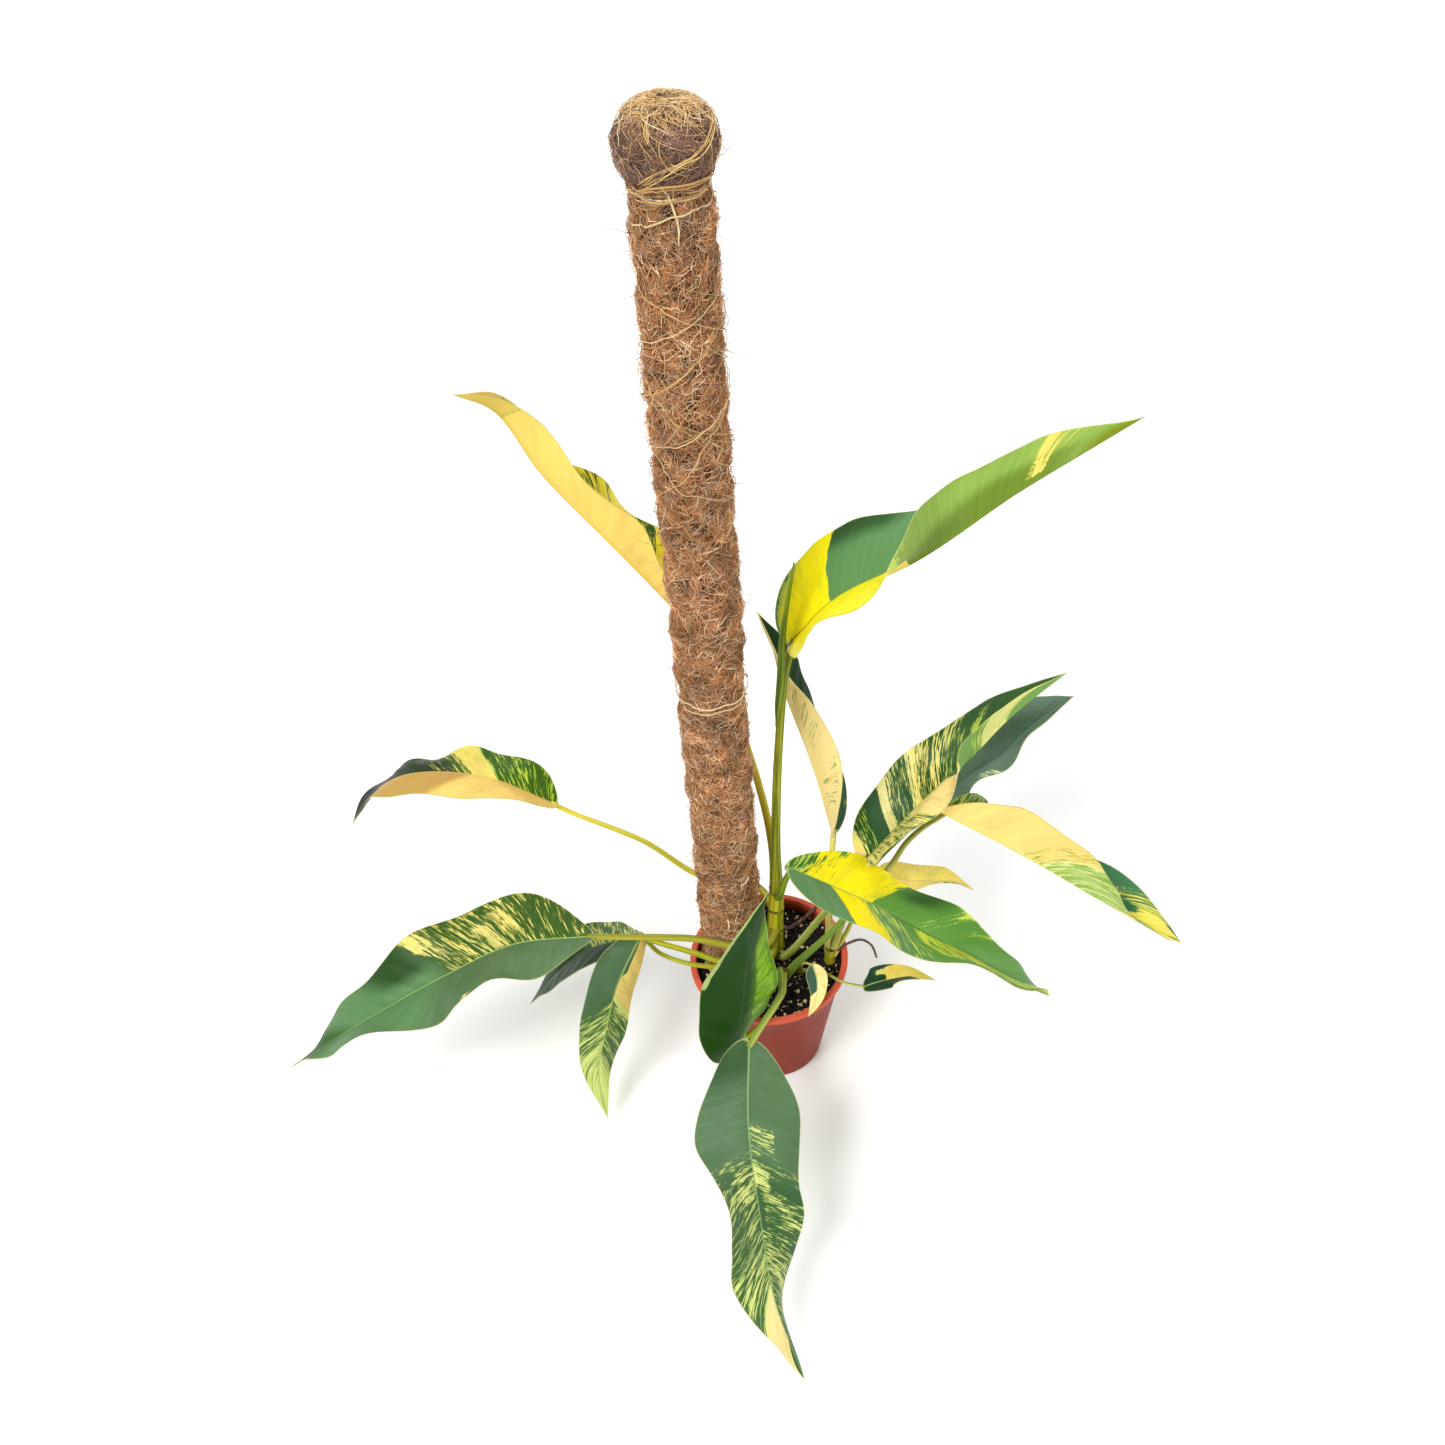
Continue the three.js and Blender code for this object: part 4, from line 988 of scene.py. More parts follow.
# Grain of the leaf skin: how far each noise runs across the blade and along it in
# millimetres, and its step from leaf to leaf
LEAF_GRAIN = {
    "broad": (30, 4, 1),
    "strand": (12, 1.2, 1.7),
    "fine": (6, 0.5, 2.3),
    "cloud": (60, 30, 3),
    "lines": (90, 1.6, 5),
}
# Pale lines over the side veins: millimetres between them, and how thin and bright they are
SIDE_VEINS = {"apart": 8.5, "thin": 14, "bright": 0.38}


def leaf_finish(cloud_tint):
    """Leaf skin: green ground, marks that fray along the veins, midrib, margin and vein relief."""
    leaf = Finish("variegated_leaf_skin", Specular_IOR_Level=0.16, IOR=1.45)
    vein = leaf.surface("vein", "Vector")
    cover = leaf.surface("cover")
    under = leaf.surface("under")
    ground = leaf.surface("ground", "Color")
    pale = leaf.surface("pale", "Color")

    def grain(name, detail=2, roughness=0.5):
        across, lengthwise, apart = LEAF_GRAIN[name]
        return leaf.noise(vein.scaled(1 / across, 1 / lengthwise, apart), 1.0, detail, roughness)

    broad, strand, fine = grain("broad", 1), grain("strand", 2, 0.6), grain("fine")
    cloud, lines = grain("cloud"), grain("lines")
    # a mark shows where the grain stands above a bar that falls as the cover rises
    frayed = (broad - 0.5) * 0.8 + (strand - 0.5) * 1.1 + (fine - 0.5) * 0.5
    bar = (0.5 - cover) * 0.42
    mark = (frayed - bar).step(-0.03, 0.04)
    halo = (frayed - bar).step(-0.14, 0)
    shade = (cloud - 0.5) * 1.1 + (strand - 0.5) * 0.6 + (lines - 0.5) * 0.6 + 0.3
    ground = leaf.blend(shade.capped(0, 0.8), ground, leaf.times(ground, cloud_tint))
    along_rib = leaf.node("ShaderNodeSeparateXYZ", {}, {0: vein}, output=1)
    wave = (along_rib * (TURN / SIDE_VEINS["apart"])).sine() * 0.5 + 0.5
    lateral = wave.power(SIDE_VEINS["thin"]) * (cloud * SIDE_VEINS["bright"])
    ground = leaf.blend(lateral, ground, leaf.times(ground, (1.6, 1.5, 1.4)))
    between = leaf.blend(0.15, leaf.blend(0.45, ground, tone("#86a838")), pale)
    colour = leaf.blend(halo * 0.7, ground, between)
    tint = ((cloud - 0.45) * 1.2 + (strand - 0.5) * 1.4).capped(0, 0.4) * (1 - under * 0.75)
    colour = leaf.blend(mark, colour, leaf.blend(tint, pale, between))
    middle = (1.05 - leaf.surface("rib_distance")).step(-0.35, 0.35)
    colour = leaf.blend(middle * 0.7, colour, leaf.surface("rib_tone", "Color"))
    margin = (0.55 - leaf.surface("edge_distance")).step(-0.3, 0.3)
    colour = leaf.blend(margin * 0.45, colour, tone("#d3d67f"))
    leaf.feed("Base Color", colour)
    leaf.feed("Roughness", 0.42 + under * 0.2 + (cloud - 0.5) * 0.2)
    leaf.feed("Normal", leaf.bump(lines * 0.5 + fine * 0.2, 0.0004, 0.5))
    return leaf.material


def fibre_finish(name, roughness, gloss=0.25):
    """Dry fibre of its own tint, a little uneven along its length."""
    fibre = Finish(name, Specular_IOR_Level=gloss)
    patch = fibre.noise(fibre.place(), 400, 2)
    tint = fibre.surface("tint", "Color")
    worn = fibre.times(tint, (0.5, 0.46, 0.42))
    fibre.feed("Base Color", fibre.blend((patch - 0.45) * 1.4, tint, worn))
    fibre.feed("Roughness", roughness + (patch - 0.5) * 0.2)
    return fibre.material


def coir_finish():
    """The matted felt under the loose fibres, its coir tones darker than the fibres' as painted shade of the
    depth under them, with more painted shade in its hollows.
    """
    felt = Finish("coir_felt", Specular_IOR_Level=0.15)
    place = felt.place()
    hollow = felt.surface("hollow")
    threads = felt.noise(place.scaled(650, 650, 450), 1, 4, 0.75, 4.0)
    clumps = felt.noise(place, 90, 3)
    # painted shade: the depth of the hollows darkens the felt towards the dark tone
    shade = (hollow * 0.5 + (clumps - 0.5) * 1.0 + (threads - 0.5) * 2.6 + 0.45).capped()
    felt.feed("Base Color", felt.blend(shade, tone("#a87650"), tone("#3d2619")))
    felt.feed("Roughness", 0.95 - threads * 0.1)
    felt.feed("Normal", felt.bump(threads, 0.001, 0.8))
    return felt.material


def pot_finish(body, lip):
    """Moulded plastic with flow streaks, scuffs and dust, and a lip that is paler than the wall mostly as
    painted light from above.
    """
    plastic = Finish("terracotta_plastic", Specular_IOR_Level=0.12)
    place = plastic.place()
    height = plastic.node("ShaderNodeSeparateXYZ", {}, {0: place}, output=2) / MM
    grain = plastic.noise(place, 1400, 2)
    wash = plastic.noise(place.scaled(1, 1, 0.35), 40, 4, 0.6)
    # painted light: above this height the paler lip colour stands in mostly for light on the rim
    rim = (height - (POT["height"] - POT["lip_height"])).step(-1.5, 1.5)
    colour = plastic.blend(rim, body, lip)
    colour = plastic.blend((wash - 0.4) * 0.9, colour, plastic.times(colour, (0.72, 0.66, 0.66)))
    scuff = plastic.noise(place.scaled(1, 1, 6), 160, 3).step(0.66, 0.74)
    colour = plastic.blend(scuff * 0.3, colour, tone("#b5705c"))
    plastic.feed("Base Color", colour)
    plastic.feed("Roughness", 0.52 + (wash - 0.5) * 0.3 + scuff * 0.2)
    plastic.feed("Normal", plastic.bump(grain, 0.0002, 0.35))
    return plastic.material


def soil_finish():
    """Dark damp potting mix with brown bark flecks."""
    mix = Finish("potting_mix", Specular_IOR_Level=0.3)
    place = mix.place()
    crumbs = mix.noise(place, 520, 4, 0.65)
    flecks = mix.noise(place, 260, 2).step(0.6, 0.66)
    colour = mix.blend(crumbs.step(0.35, 0.7), tone("#0c0908"), tone("#2a2019"))
    mix.feed("Base Color", mix.blend(flecks * 0.4, colour, tone("#5d4230")))
    mix.feed("Roughness", 0.95 - flecks * 0.2)
    mix.feed("Normal", mix.bump(crumbs, 0.002, 0.8))
    return mix.material


def perlite_finish():
    """Porous white volcanic grains, a little soiled."""
    grains = Finish("perlite", Specular_IOR_Level=0.3)
    pores = grains.noise(grains.place(), 1500, 3, 0.7)
    grains.feed("Base Color", grains.blend(pores.step(0.35, 0.65), tone("#c2ad78"), tone("#f0e4b8")))
    grains.feed("Roughness", 0.85 + (pores - 0.5) * 0.2)
    grains.feed("Normal", grains.bump(pores, 0.0006, 0.6))
    return grains.material


def wood_finish(name, light, dark):
    """Grain along the height of a stake or along a root."""
    wood = Finish(name, Specular_IOR_Level=0.3)
    grain = wood.noise(wood.place().scaled(1, 1, 0.06), 420, 4, 0.6, 0.4)
    wood.feed("Base Color", wood.blend(grain.step(0.35, 0.65), light, dark))
    wood.feed("Roughness", 0.7 + (grain - 0.5) * 0.3)
    wood.feed("Normal", wood.bump(grain, 0.0005, 0.5))
    return wood.material


def floor_finish():
    """Pale paper with a faint mottle."""
    paper = Finish("pale_floor", Roughness=0.9, Specular_IOR_Level=0.1)
    mottle = paper.noise(paper.place(), 3, 2)
    paper.feed("Base Color", paper.blend(mottle, tone("#f6f6f5"), tone("#fafafa")))
    return paper.material


# Leaves. Here s is the share along a blade, v the share of the half width, and q the
# share along the midrib where the vein at a point leaves it.

def outline(s):
    """Half width along a blade, with a round base and a long drawn-out tip."""
    base = (1 - (1 - s) ** OUTLINE["base"]) ** OUTLINE["base_round"]
    return base * (1 - s ** OUTLINE["tip"]) ** OUTLINE["tip_fine"]


def soft_band(x, low, high, ease):
    """1 between low and high with straight ramps about them."""
    return np.clip((x - low) / ease + 0.5, 0, 1) * np.clip((high - x) / ease + 0.5, 0, 1)


def paint(leaf, side, s, q, v, back, length, width):
    """Ground colour, mark colour and cover at points of one half."""
    looks = MARKINGS[leaf["name"]]
    blank = np.zeros(q.shape + (3,))
    ground, pale = (blank + tone(looks[key][back]) for key in ("ground", "pale"))
    cover = np.full(q.shape, float(NONE))
    ease = MARK_EASE["along"] / length

    def share_of(half, q0, q1, v0, v1, soft=1):
        if half not in (BOTH, side):
            return 0 * q
        start, end = v0 if v0 > 0 else -FAR, v1 if v1 < 1 else FAR
        across = soft_band(v, start, end, MARK_EASE["across"] * soft / width)
        return soft_band(q, q0, q1, ease * soft) * across

    for face, half, q0, q1, v0, v1, hue in looks.get("washes", []):
        if face == back:
            share = share_of(half, q0, q1, v0, v1, MARK_EASE["wash"])
            ground = shift(ground, hue, smooth(share))
    for half, q0, q1, v0, v1, full, *hue in looks["marks"]:
        # a mark that another one follows runs on under it
        followed = any(m[0] == half and abs(m[1] - q1) < 0.001 for m in looks["marks"])
        share = share_of(half, q0, q1 + ease * followed, v0, v1)
        cover += (full - cover) * share
        for name in hue or [looks["pale"][back]]:
            pale = shift(pale, name, smooth(share * 2))
    if "tip" in looks:
        start, hue, full = looks["tip"]
        share = smooth((s - start) / MARK_EASE["tip"])
        ground = shift(ground, hue, share)
        cover += (full - cover) * share
    return ground, pale, cover


def blade_frames(leaf, shares):
    """Middle line of a blade with the ways ahead, up and right at each share."""
    route = Route(leaf["midrib"])
    ahead = route.ahead(shares)
    faces = np.array(leaf["faces"], float)
    up = unit(faces - (ahead @ faces)[:, None] * ahead)
    roll = np.radians(along(leaf["roll"], shares))[:, None]
    side = np.cross(ahead, up)
    up = up * np.cos(roll) + side * np.sin(roll)
    return route.at(shares), ahead, up, np.cross(ahead, up)


def half_sheet(leaf, side, shares, frames):
    """Points, upward normals and half widths of one half, column by column from the midrib."""
    middle, ahead, up, right = frames
    widths, folds, (height, count, phase) = leaf[HALVES[side]]
    width = np.maximum(outline(shares) * along(widths, shares), BLADE["tip"])
    fold = along(folds, shares)
    wave = height * np.sin(TURN * count * shares + math.radians(phase)) * outline(shares)
    lobe = BLADE["lobe"] * widths[1] / BLADE["lobe_width"]
    back = lobe * np.maximum(0, 1 - shares / BLADE["lobe_length"]) ** 2
    point = middle
    points, normals = [], []
    last = 0
    for v in BLADE_COLUMNS:
        between = np.radians(fold + BLADE["arch"] * ((v + last) / 2 - 0.5))[:, None]
        run = (width * (v - last))[:, None]
        point = point + run * (side * right * np.cos(between) + up * np.sin(between))
        points.append(point + up * (wave * v * v)[:, None] - ahead * (back * v * v)[:, None])
        slope = np.radians(fold + BLADE["arch"] * (v - 0.5))[:, None]
        normals.append(up * np.cos(slope) - side * right * np.sin(slope))
        last = v
    return np.array(points), np.array(normals), width


def half_blade(leaf, number, side, length, shares, frames):
    """Upper and lower sheets of one half, each with its surface values."""
    points, normals, width = half_sheet(leaf, side, shares, frames)
    broad = leaf[HALVES[side]][0][1]
    v = np.array(BLADE_COLUMNS)[:, None] + 0 * shares
    lean = MARKINGS[leaf["name"]].get("lean", 1)
    q = (shares - lean * VEINS["lag"] * v) / (1 + lean * VEINS["lag_growth"] * v)
    off, edge = v * width, (1 - v) * width
    clear = smooth(off / VEINS["rib_clear"]) * smooth(edge / VEINS["edge_clear"])
    quilt = VEINS["quilt"] * np.cos(q * length / VEINS["pitch"] * TURN) * clear
    buckle = VEINS["buckle"] * ripple(points, VEINS["buckle_length"], number)
    buckle = buckle * smooth(off / VEINS["buckle_clear"])
    lift = (quilt + buckle * min(1, broad / VEINS["buckle_width"]))[..., None]
    half_thick = (BLADE["mid"] + (BLADE["edge"] - BLADE["mid"]) * v) / 2
    groove = BLADE["groove"] * np.maximum(0, 1 - (off / BLADE["groove_half"]) ** 2)
    rib_size = leaf["stalk"] / BLADE["rib_stalk"] * (1 - shares) ** BLADE["rib_taper"]
    rib_half = BLADE["rib_half"] * (0.35 + 0.65 * rib_size)
    rib = BLADE["rib"] * rib_size * np.sqrt(np.maximum(0, 1 - (off / rib_half) ** 2))
    upper = points + normals * (half_thick - groove)[..., None] + normals * lift
    lower = points - normals * (half_thick + rib)[..., None] + normals * lift
    vein = np.stack([side * off * VEINS["slant"], q * length, 0 * q + number * 7 + side], -1)
    faces = []
    for back, sheet in ((UPPER, upper), (BACK, lower)):
        ground, pale, cover = paint(leaf, side, shares + 0 * v, q, v, back, length, broad)
        values = {"vein": vein, "ground": ground, "pale": pale, "cover": cover}
        faces.append((sheet, {**values, "rib_distance": off * (1 + shares), "edge_distance": edge}))
    return faces


def add_blade(skin, leaf, number):
    """Upper and lower faces of a blade, joined round the margin."""
    length = Route(leaf["midrib"]).length
    rows = int(min(BLADE["rows_most"], max(BLADE["rows_least"], length / BLADE["row"])))
    even = np.linspace(0, 1, rows)
    # rows lie closer together towards both ends
    shares = 0.7 * even + 0.15 * (1 - np.cos(np.pi * even))
    frames = blade_frames(leaf, shares)
    left, right = (half_blade(leaf, number, side, length, shares, frames) for side in (LEFT, RIGHT))
    starts = []
    for back in (UPPER, BACK):
        # the halves share their first column, so the left one is laid out from its edge
        (left_sheet, left_values), (right_sheet, right_values) = left[back], right[back]
        grid = np.concatenate([left_sheet[:0:-1], right_sheet])
        across, down = grid.shape[:2]
        values = {}
        for key, value in left_values.items():
            joined = np.concatenate([value[:0:-1], right_values[key]])
            values[key] = joined.reshape(across * down, *joined.shape[2:])
        index = np.arange(across * down).reshape(across, down)
        quads = np.stack([index[:-1, :-1], index[1:, :-1], index[1:, 1:], index[:-1, 1:]], -1)
        if back:
            quads = quads[..., ::-1]
        starts.append(skin.count)
        skin.add(grid, quads, under=float(back), rib_tone=tone(MARKINGS[leaf["name"]]["rib"]), **values)
    # a strip round the margin joins the faces
    loop = np.concatenate([index[0, :], index[1:, -1], index[-1, -2::-1], index[-2:0:-1, 0]])
    beside = np.roll(loop, -1)
    upper, lower = starts
    skin.quads.append(np.stack([loop + lower, beside + lower, beside + upper, loop + upper], -1))


def add_stalk(skin, leaf, number):
    """The petiole, sheathing at its foot, channelled above and thickened under the blade."""
    route = Route([*leaf["petiole"], leaf["midrib"][0]])
    steps = max(STALK["rows_least"], int(route.length / STALK["step"]))
    t = np.linspace(0, 1, steps)
    path, ahead = route.at(t), route.ahead(t)
    # the way up is carried down from the blade's base without a twist
    up = blade_frames(leaf, np.array([0.0, 0.01]))[2][0]
    ups = np.zeros((steps, 3))
    for i in range(steps - 1, -1, -1):
        up = unit(up - (up @ ahead[i]) * ahead[i])
        ups[i] = up
    right = np.cross(ahead, ups)
    sheath = np.maximum(0, 1 - t / STALK["sheath_length"]) ** 2
    knee = np.exp(-(((t - STALK["knee_place"]) * route.length / STALK["knee_half"]) ** 2))
    radius = leaf["stalk"] * (1 + STALK["sheath"] * sheath) * (1 - STALK["taper"] * t)
    radius = radius * (1 + STALK["knee"] * knee)
    index, quads = ring_quads(steps, STALK["sides"])
    angles = np.arange(STALK["sides"]) / STALK["sides"] * TURN
    top = np.maximum(0, np.sin(angles)) ** 6
    shape = 1 - STALK["channel"] * top[None] * (0.35 + sheath[:, None]) * (1 - knee[:, None] * 0.6)
    wing = 0
    for place in STALK["wing_places"]:
        wing = wing + STALK["wing"] * np.exp(-(((angles - np.pi * place) / STALK["wing_half"]) ** 2))
    shape = (shape + wing[None] * sheath[:, None] ** 0.5) * radius[:, None]
    points = (path[:, None] + right[:, None] * (shape * np.cos(angles))[..., None]
              + ups[:, None] * (shape * np.sin(angles))[..., None])
    inner = range(1, STALK["sides"] - 1)
    caps = [(index[0, 0], index[0, j + 1], index[0, j]) for j in inner]
    caps += [(index[-1, 0], index[-1, j], index[-1, j + 1]) for j in inner]
    low, high, cover = MARKINGS[leaf["name"]]["stalk"]
    around = np.broadcast_to((np.abs(angles - np.pi) * 3 + 4) * leaf["stalk"], index.shape)
    stripe = np.broadcast_to((t * route.length * STALK["stripe"])[:, None], index.shape)
    vein = np.stack([stripe, around / STALK["stripe_width"], 0 * around + number * 5], -1)
    # painted light: one side, turned by lit_from, takes the streaks' tone as a painted highlight and the
    # rest the ground's, and the sheath's edges dry to ochre
    lit = smooth(0.5 + 0.75 * np.cos(angles - STALK["lit_from"] + 0.6 * np.sin(number)))[None, :, None]
    foot = smooth((sheath[:, None] * (0.4 + top[None]) - 0.25) * 1.5)[..., None]
    ground = np.array(tone(low)) * (1 - lit) + np.array(tone(high)) * lit * 0.8
    ground = ground * (1 - foot * 0.6) + np.array(tone("ochre")) * foot * 0.6
    skin.add(points, quads, caps, under=STALK["under"], rib_tone=tone(low), vein=vein.reshape(-1, 3),
             ground=ground.reshape(-1, 3), pale=tone(high), cover=cover - STALK["bare"],
             rib_distance=FAR, edge_distance=FAR)


# The pole

def shoulder(tilt):
    """How far the ball's upper half swells past a round one towards its shoulder."""
    full = POLE["ball_square"]
    swell = (np.abs(np.cos(tilt)) ** full + np.abs(np.sin(tilt)) ** full) ** (-1 / full)
    return np.where(tilt > 0, swell, 1)


def sleeve(angle, t):
    """Radius, height and slope from level of the sleeve at t along it from its foot."""
    ball_start = POLE["ball_height"] + POLE["ball_radius"] * math.sin(POLE["ball_low"])
    straight = ball_start - POLE["foot"]
    z = POLE["foot"] + np.minimum(t, straight)
    turns = z / POLE["lump_height"] * math.pi
    quilt = np.cos(2 * angle + turns) * np.cos(3 * angle - turns * POLE["lump_shear"])
    full = np.minimum(1, (z - POLE["foot"]) / POLE["foot_height"])
    radius = POLE["foot_radius"] + (POLE["radius"] + POLE["lump"] * quilt - POLE["foot_radius"]) * full
    for tie in (NECK_TIE, STRING_LOOP):
        near = 1 - smooth((np.abs(z - tie) - POLE["waist_half"]) / POLE["waist_ease"])
        radius = radius + (POLE["waist_radius"] - radius) * near
    tilt = POLE["ball_low"] + np.maximum(0, t - straight) / POLE["ball_radius"]
    ball = POLE["ball_radius"] * np.cos(tilt) * shoulder(tilt)
    swell = smooth((z - NECK_TIE - POLE["waist_half"]) / (ball_start - NECK_TIE - POLE["waist_half"]))
    start = radius + (POLE["ball_radius"] * math.cos(POLE["ball_low"]) - radius) * swell
    on_ball = t > straight
    rise = np.where(tilt > 0, POLE["ball_rise"], POLE["ball_radius"])
    height = np.where(on_ball, POLE["ball_height"] + rise * np.sin(tilt) * shoulder(tilt), z)
    return np.where(on_ball, ball, start), height, np.where(on_ball, tilt, 0)


# Way along the sleeve from its foot over the ball to the top
SLEEVE_LENGTH = (
    POLE["ball_height"] + POLE["ball_radius"] * math.sin(POLE["ball_low"]) - POLE["foot"]
    + (math.pi / 2 - POLE["ball_low"]) * POLE["ball_radius"]
)


def knots(angle, z):
    """Height of the sleeve's lumps, which the netting gathers into leaning diamonds."""
    around = np.cos(angle) * NETTING["radius"], np.sin(angle) * NETTING["radius"]
    p = np.stack([*around, z + 0 * angle], -1)
    drift = NETTING["drift"] * ripple(p, 60, 5)
    climb = z / NETTING["height"] * math.pi
    one = np.abs(np.sin(NETTING["around"] / 2 * angle + climb + drift))
    two = np.abs(np.sin(NETTING["around"] / 2 * angle - climb - drift))
    diamonds = NETTING["depth"] * (np.sqrt(one * two) - 0.6)
    return diamonds + 0.7 * ripple(p, 24, 3) + 0.4 * ripple(p, 9, 4)


def on_sleeve(angle, t, lift):
    """Points over the sleeve and the way out from it."""
    radius, z, tilt = sleeve(angle, t)
    out = np.stack([np.cos(angle) * np.cos(tilt), np.sin(angle) * np.cos(tilt), np.sin(tilt)], -1)
    base = np.stack([POLE["x"] + radius * np.cos(angle), POLE["y"] + radius * np.sin(angle), z], -1)
    return base + out * (lift + knots(angle, z) * np.cos(tilt))[..., None], out


# Tints of fibres and strands, each with its share
COIR_TINTS = [
    ("#dca97a", 5), ("#c9915f", 5), ("#e8c296", 3), ("#b67c50", 3), ("#86542f", 2), ("#f4dcbc", 1.8),
]
BALL_TINTS = [
    ("#947263", 4), ("#a88b7c", 3), ("#775a4b", 3), ("#c4aa9e", 1.3), ("#9a7150", 3), ("#cda56e", 1),
]
RAFFIA_TINTS = [("#dab676", 4), ("#c8a061", 3), ("#e6cb98", 2), ("#b08850", 2)]
TUFT_TINTS = [("#eacb92", 4), ("#d6ab70", 3), ("#f2dfb8", 2), ("#c29668", 2)]
STRING_TINTS = [("#ecd6ae", 3), ("#e2c898", 2)]
TWINE_TINTS = [("#d4ab70", 3), ("#e2c494", 2), ("#bd9560", 2)]

SLEEVE = {"sides": 88, "rows": 250, "level": -1.2, "end_gap": 1.5}
# Matted fibres: pairs are the least and the most
FIBRE = {
    "lengths_of_pole": 4,
    "length": (8, 24),
    "bend": 1.4,
    "steps": 3,
    "level": -1.0,
    "end_gap": 4,
    "ball_gap": 6,
    "narrowest": 9,
    "hump": (0.2, 2.4),
    "loose_share": 0.3,
    "loose_lift": (0.6, 3.2),
    "radius": (0.14, 0.25),
    "coarse_share": 0.08,
    "coarse": 0.7,
    "foot_coarse": 0.55,
    "foot_reach": 480,
    "hollow_shade": 0.17,
}
# Hairs: length is the least, the usual and the most
HAIR = {
    "from": 60,
    "end_gap": 40,
    "length": (4, 10, 24),
    "radius": (0.17, 0.29),
    "out": 0.8,
    "spread": 0.75,
    "sag": 0.35,
    "rise": 0.1,
    "steps": 5,
}


def tints(rng, choices, count):
    """Colours drawn from tints by their shares, each a little lighter or darker."""
    hues = np.array([tone(code) for code, _ in choices])
    chance = np.array([weight for _, weight in choices])
    picked = hues[rng.choice(len(hues), count, p=chance / chance.sum())]
    return picked * rng.uniform(0.8, 1.2, (count, 1))


def matted_fibres(skin, rng, count, low, high, choices):
    """Short curling fibres that lie on the sleeve, some with a lifted end."""
    angle, t = rng.uniform(0, TURN, count), rng.uniform(low, high, count)
    heading, bend = rng.uniform(0, TURN, count), rng.normal(0, FIBRE["bend"], count)
    size = rng.uniform(*FIBRE["length"], count)
    s = np.linspace(-0.5, 0.5, FIBRE["steps"])
    turn = heading[:, None] + bend[:, None] * s
    run = size[:, None] / (FIBRE["steps"] - 1)
    t_line = t[:, None] + np.cumsum(np.cos(turn) * run, 1)
    t_line = np.clip(t_line, low, SLEEVE_LENGTH - FIBRE["end_gap"])
    radius = np.maximum(sleeve(angle, t)[0], FIBRE["narrowest"])
    angles = angle[:, None] + np.cumsum(np.sin(turn) * run, 1) / radius[:, None]
    hump = rng.uniform(*FIBRE["hump"], count)[:, None] * (1 - (2 * s) ** 2)
    loose = (rng.random(count) < FIBRE["loose_share"])[:, None]
    loose = loose * rng.uniform(*FIBRE["loose_lift"], (count, 1)) * smooth(s * 2)
    points, out = on_sleeve(angles, t_line, FIBRE["level"] + hump + loose)
    coarse = 1 + FIBRE["coarse"] * (rng.random(count) < FIBRE["coarse_share"])
    coarse = coarse * (1 + FIBRE["foot_coarse"] * np.maximum(0, 1 - t / FIBRE["foot_reach"]))
    thick = (rng.uniform(*FIBRE["radius"], count) * coarse)[:, None] * (1 - 0.5 * np.abs(2 * s))
    # patches of lighter and darker fibre, with painted shade in the hollows and painted light on the lumps
    middle = points[:, FIBRE["steps"] // 2]
    patch = 1.05 + 0.16 * ripple(middle, 30, 6, 8) + 0.12 * ripple(middle, 8, 7, 8)
    patch = patch + FIBRE["hollow_shade"] * knots(angle, sleeve(angle, t)[1])
    hue = tints(rng, choices, count) * np.clip(patch, 0.5, 1.5)[:, None]
    skin.add_tubes(points, out, thick, thick, 3, tint=hue[:, None])


def loose_hairs(skin, rng, count, choices):
    """Thin hairs that stand off the pole."""
    angle = rng.uniform(0, TURN, count)
    t = rng.uniform(HAIR["from"], SLEEVE_LENGTH - HAIR["end_gap"], count)
    start, out = on_sleeve(angle, t, FIBRE["level"])
    way = unit(out * HAIR["out"] + rng.normal(0, HAIR["spread"], (count, 3)))
    sag = rng.normal(0, HAIR["sag"], (count, 3)) + np.array([0, 0, HAIR["rise"]])
    size = rng.triangular(*HAIR["length"], count)[:, None, None]
    s = np.linspace(0, 1, HAIR["steps"])[None, :, None]
    points = start[:, None] + way[:, None] * size * s + sag[:, None] * size * s * s
    thick = rng.uniform(*HAIR["radius"], count)[:, None] * (1 - 0.6 * s[..., 0])
    any_way = np.broadcast_to([0.3, 0.2, 1.0], points.shape)
    skin.add_tubes(points, any_way, thick, thick, 3, tint=tints(rng, choices, count)[:, None])


# Strands on the ball: points of angle and tilt in degrees, and the half width
BALL_STRANDS = [
    ([(161, 60), (165, 77), (-13, 84), (-23, 65)], 2.6),
    ([(148, 58), (140, 74), (20, 80), (-2, 66)], 1.9),
    ([(170, 50), (178, 70), (-50, 78), (-48, 58)], 1.5),
    ([(164, 65), (-135, 59), (-115, 43), (-110, 34)], 1.5),
    ([(-146, 46), (-135, 26), (-131, 2)], 0.6),
    ([(-142, 47), (-119, 30), (-106, 12), (-100, -5)], 0.5),
    ([(14, 42), (-24, 29), (-50, 17), (-77, 6), (-104, -7), (-124, -20)], 1.0),
    ([(11, 38), (-24, 27), (-50, 14), (-77, 3), (-104, -10), (-124, -23)], 1.3),
    ([(8, 34), (-26, 24), (-52, 10), (-80, -2), (-108, -14), (-130, -26)], 0.6),
    ([(60, 50), (40, 30), (-10, 4), (-40, -18)], 0.5),
    ([(-60, 66), (-48, 40), (-38, 12), (-34, -16)], 0.5),
    ([(-8, 62), (-14, 40), (-12, 14), (-16, -20)], 0.6),
    ([(-85, 55), (-96, 30), (-88, 8), (-70, -12)], 0.35),
    ([(100, 60), (85, 30), (70, 5), (95, -20)], 1.1),
    ([(130, 62), (150, 36), (140, 8), (160, -18)], 0.7),
    ([(30, 58), (55, 34), (110, 18), (150, 2), (175, -14)], 1.3),
]
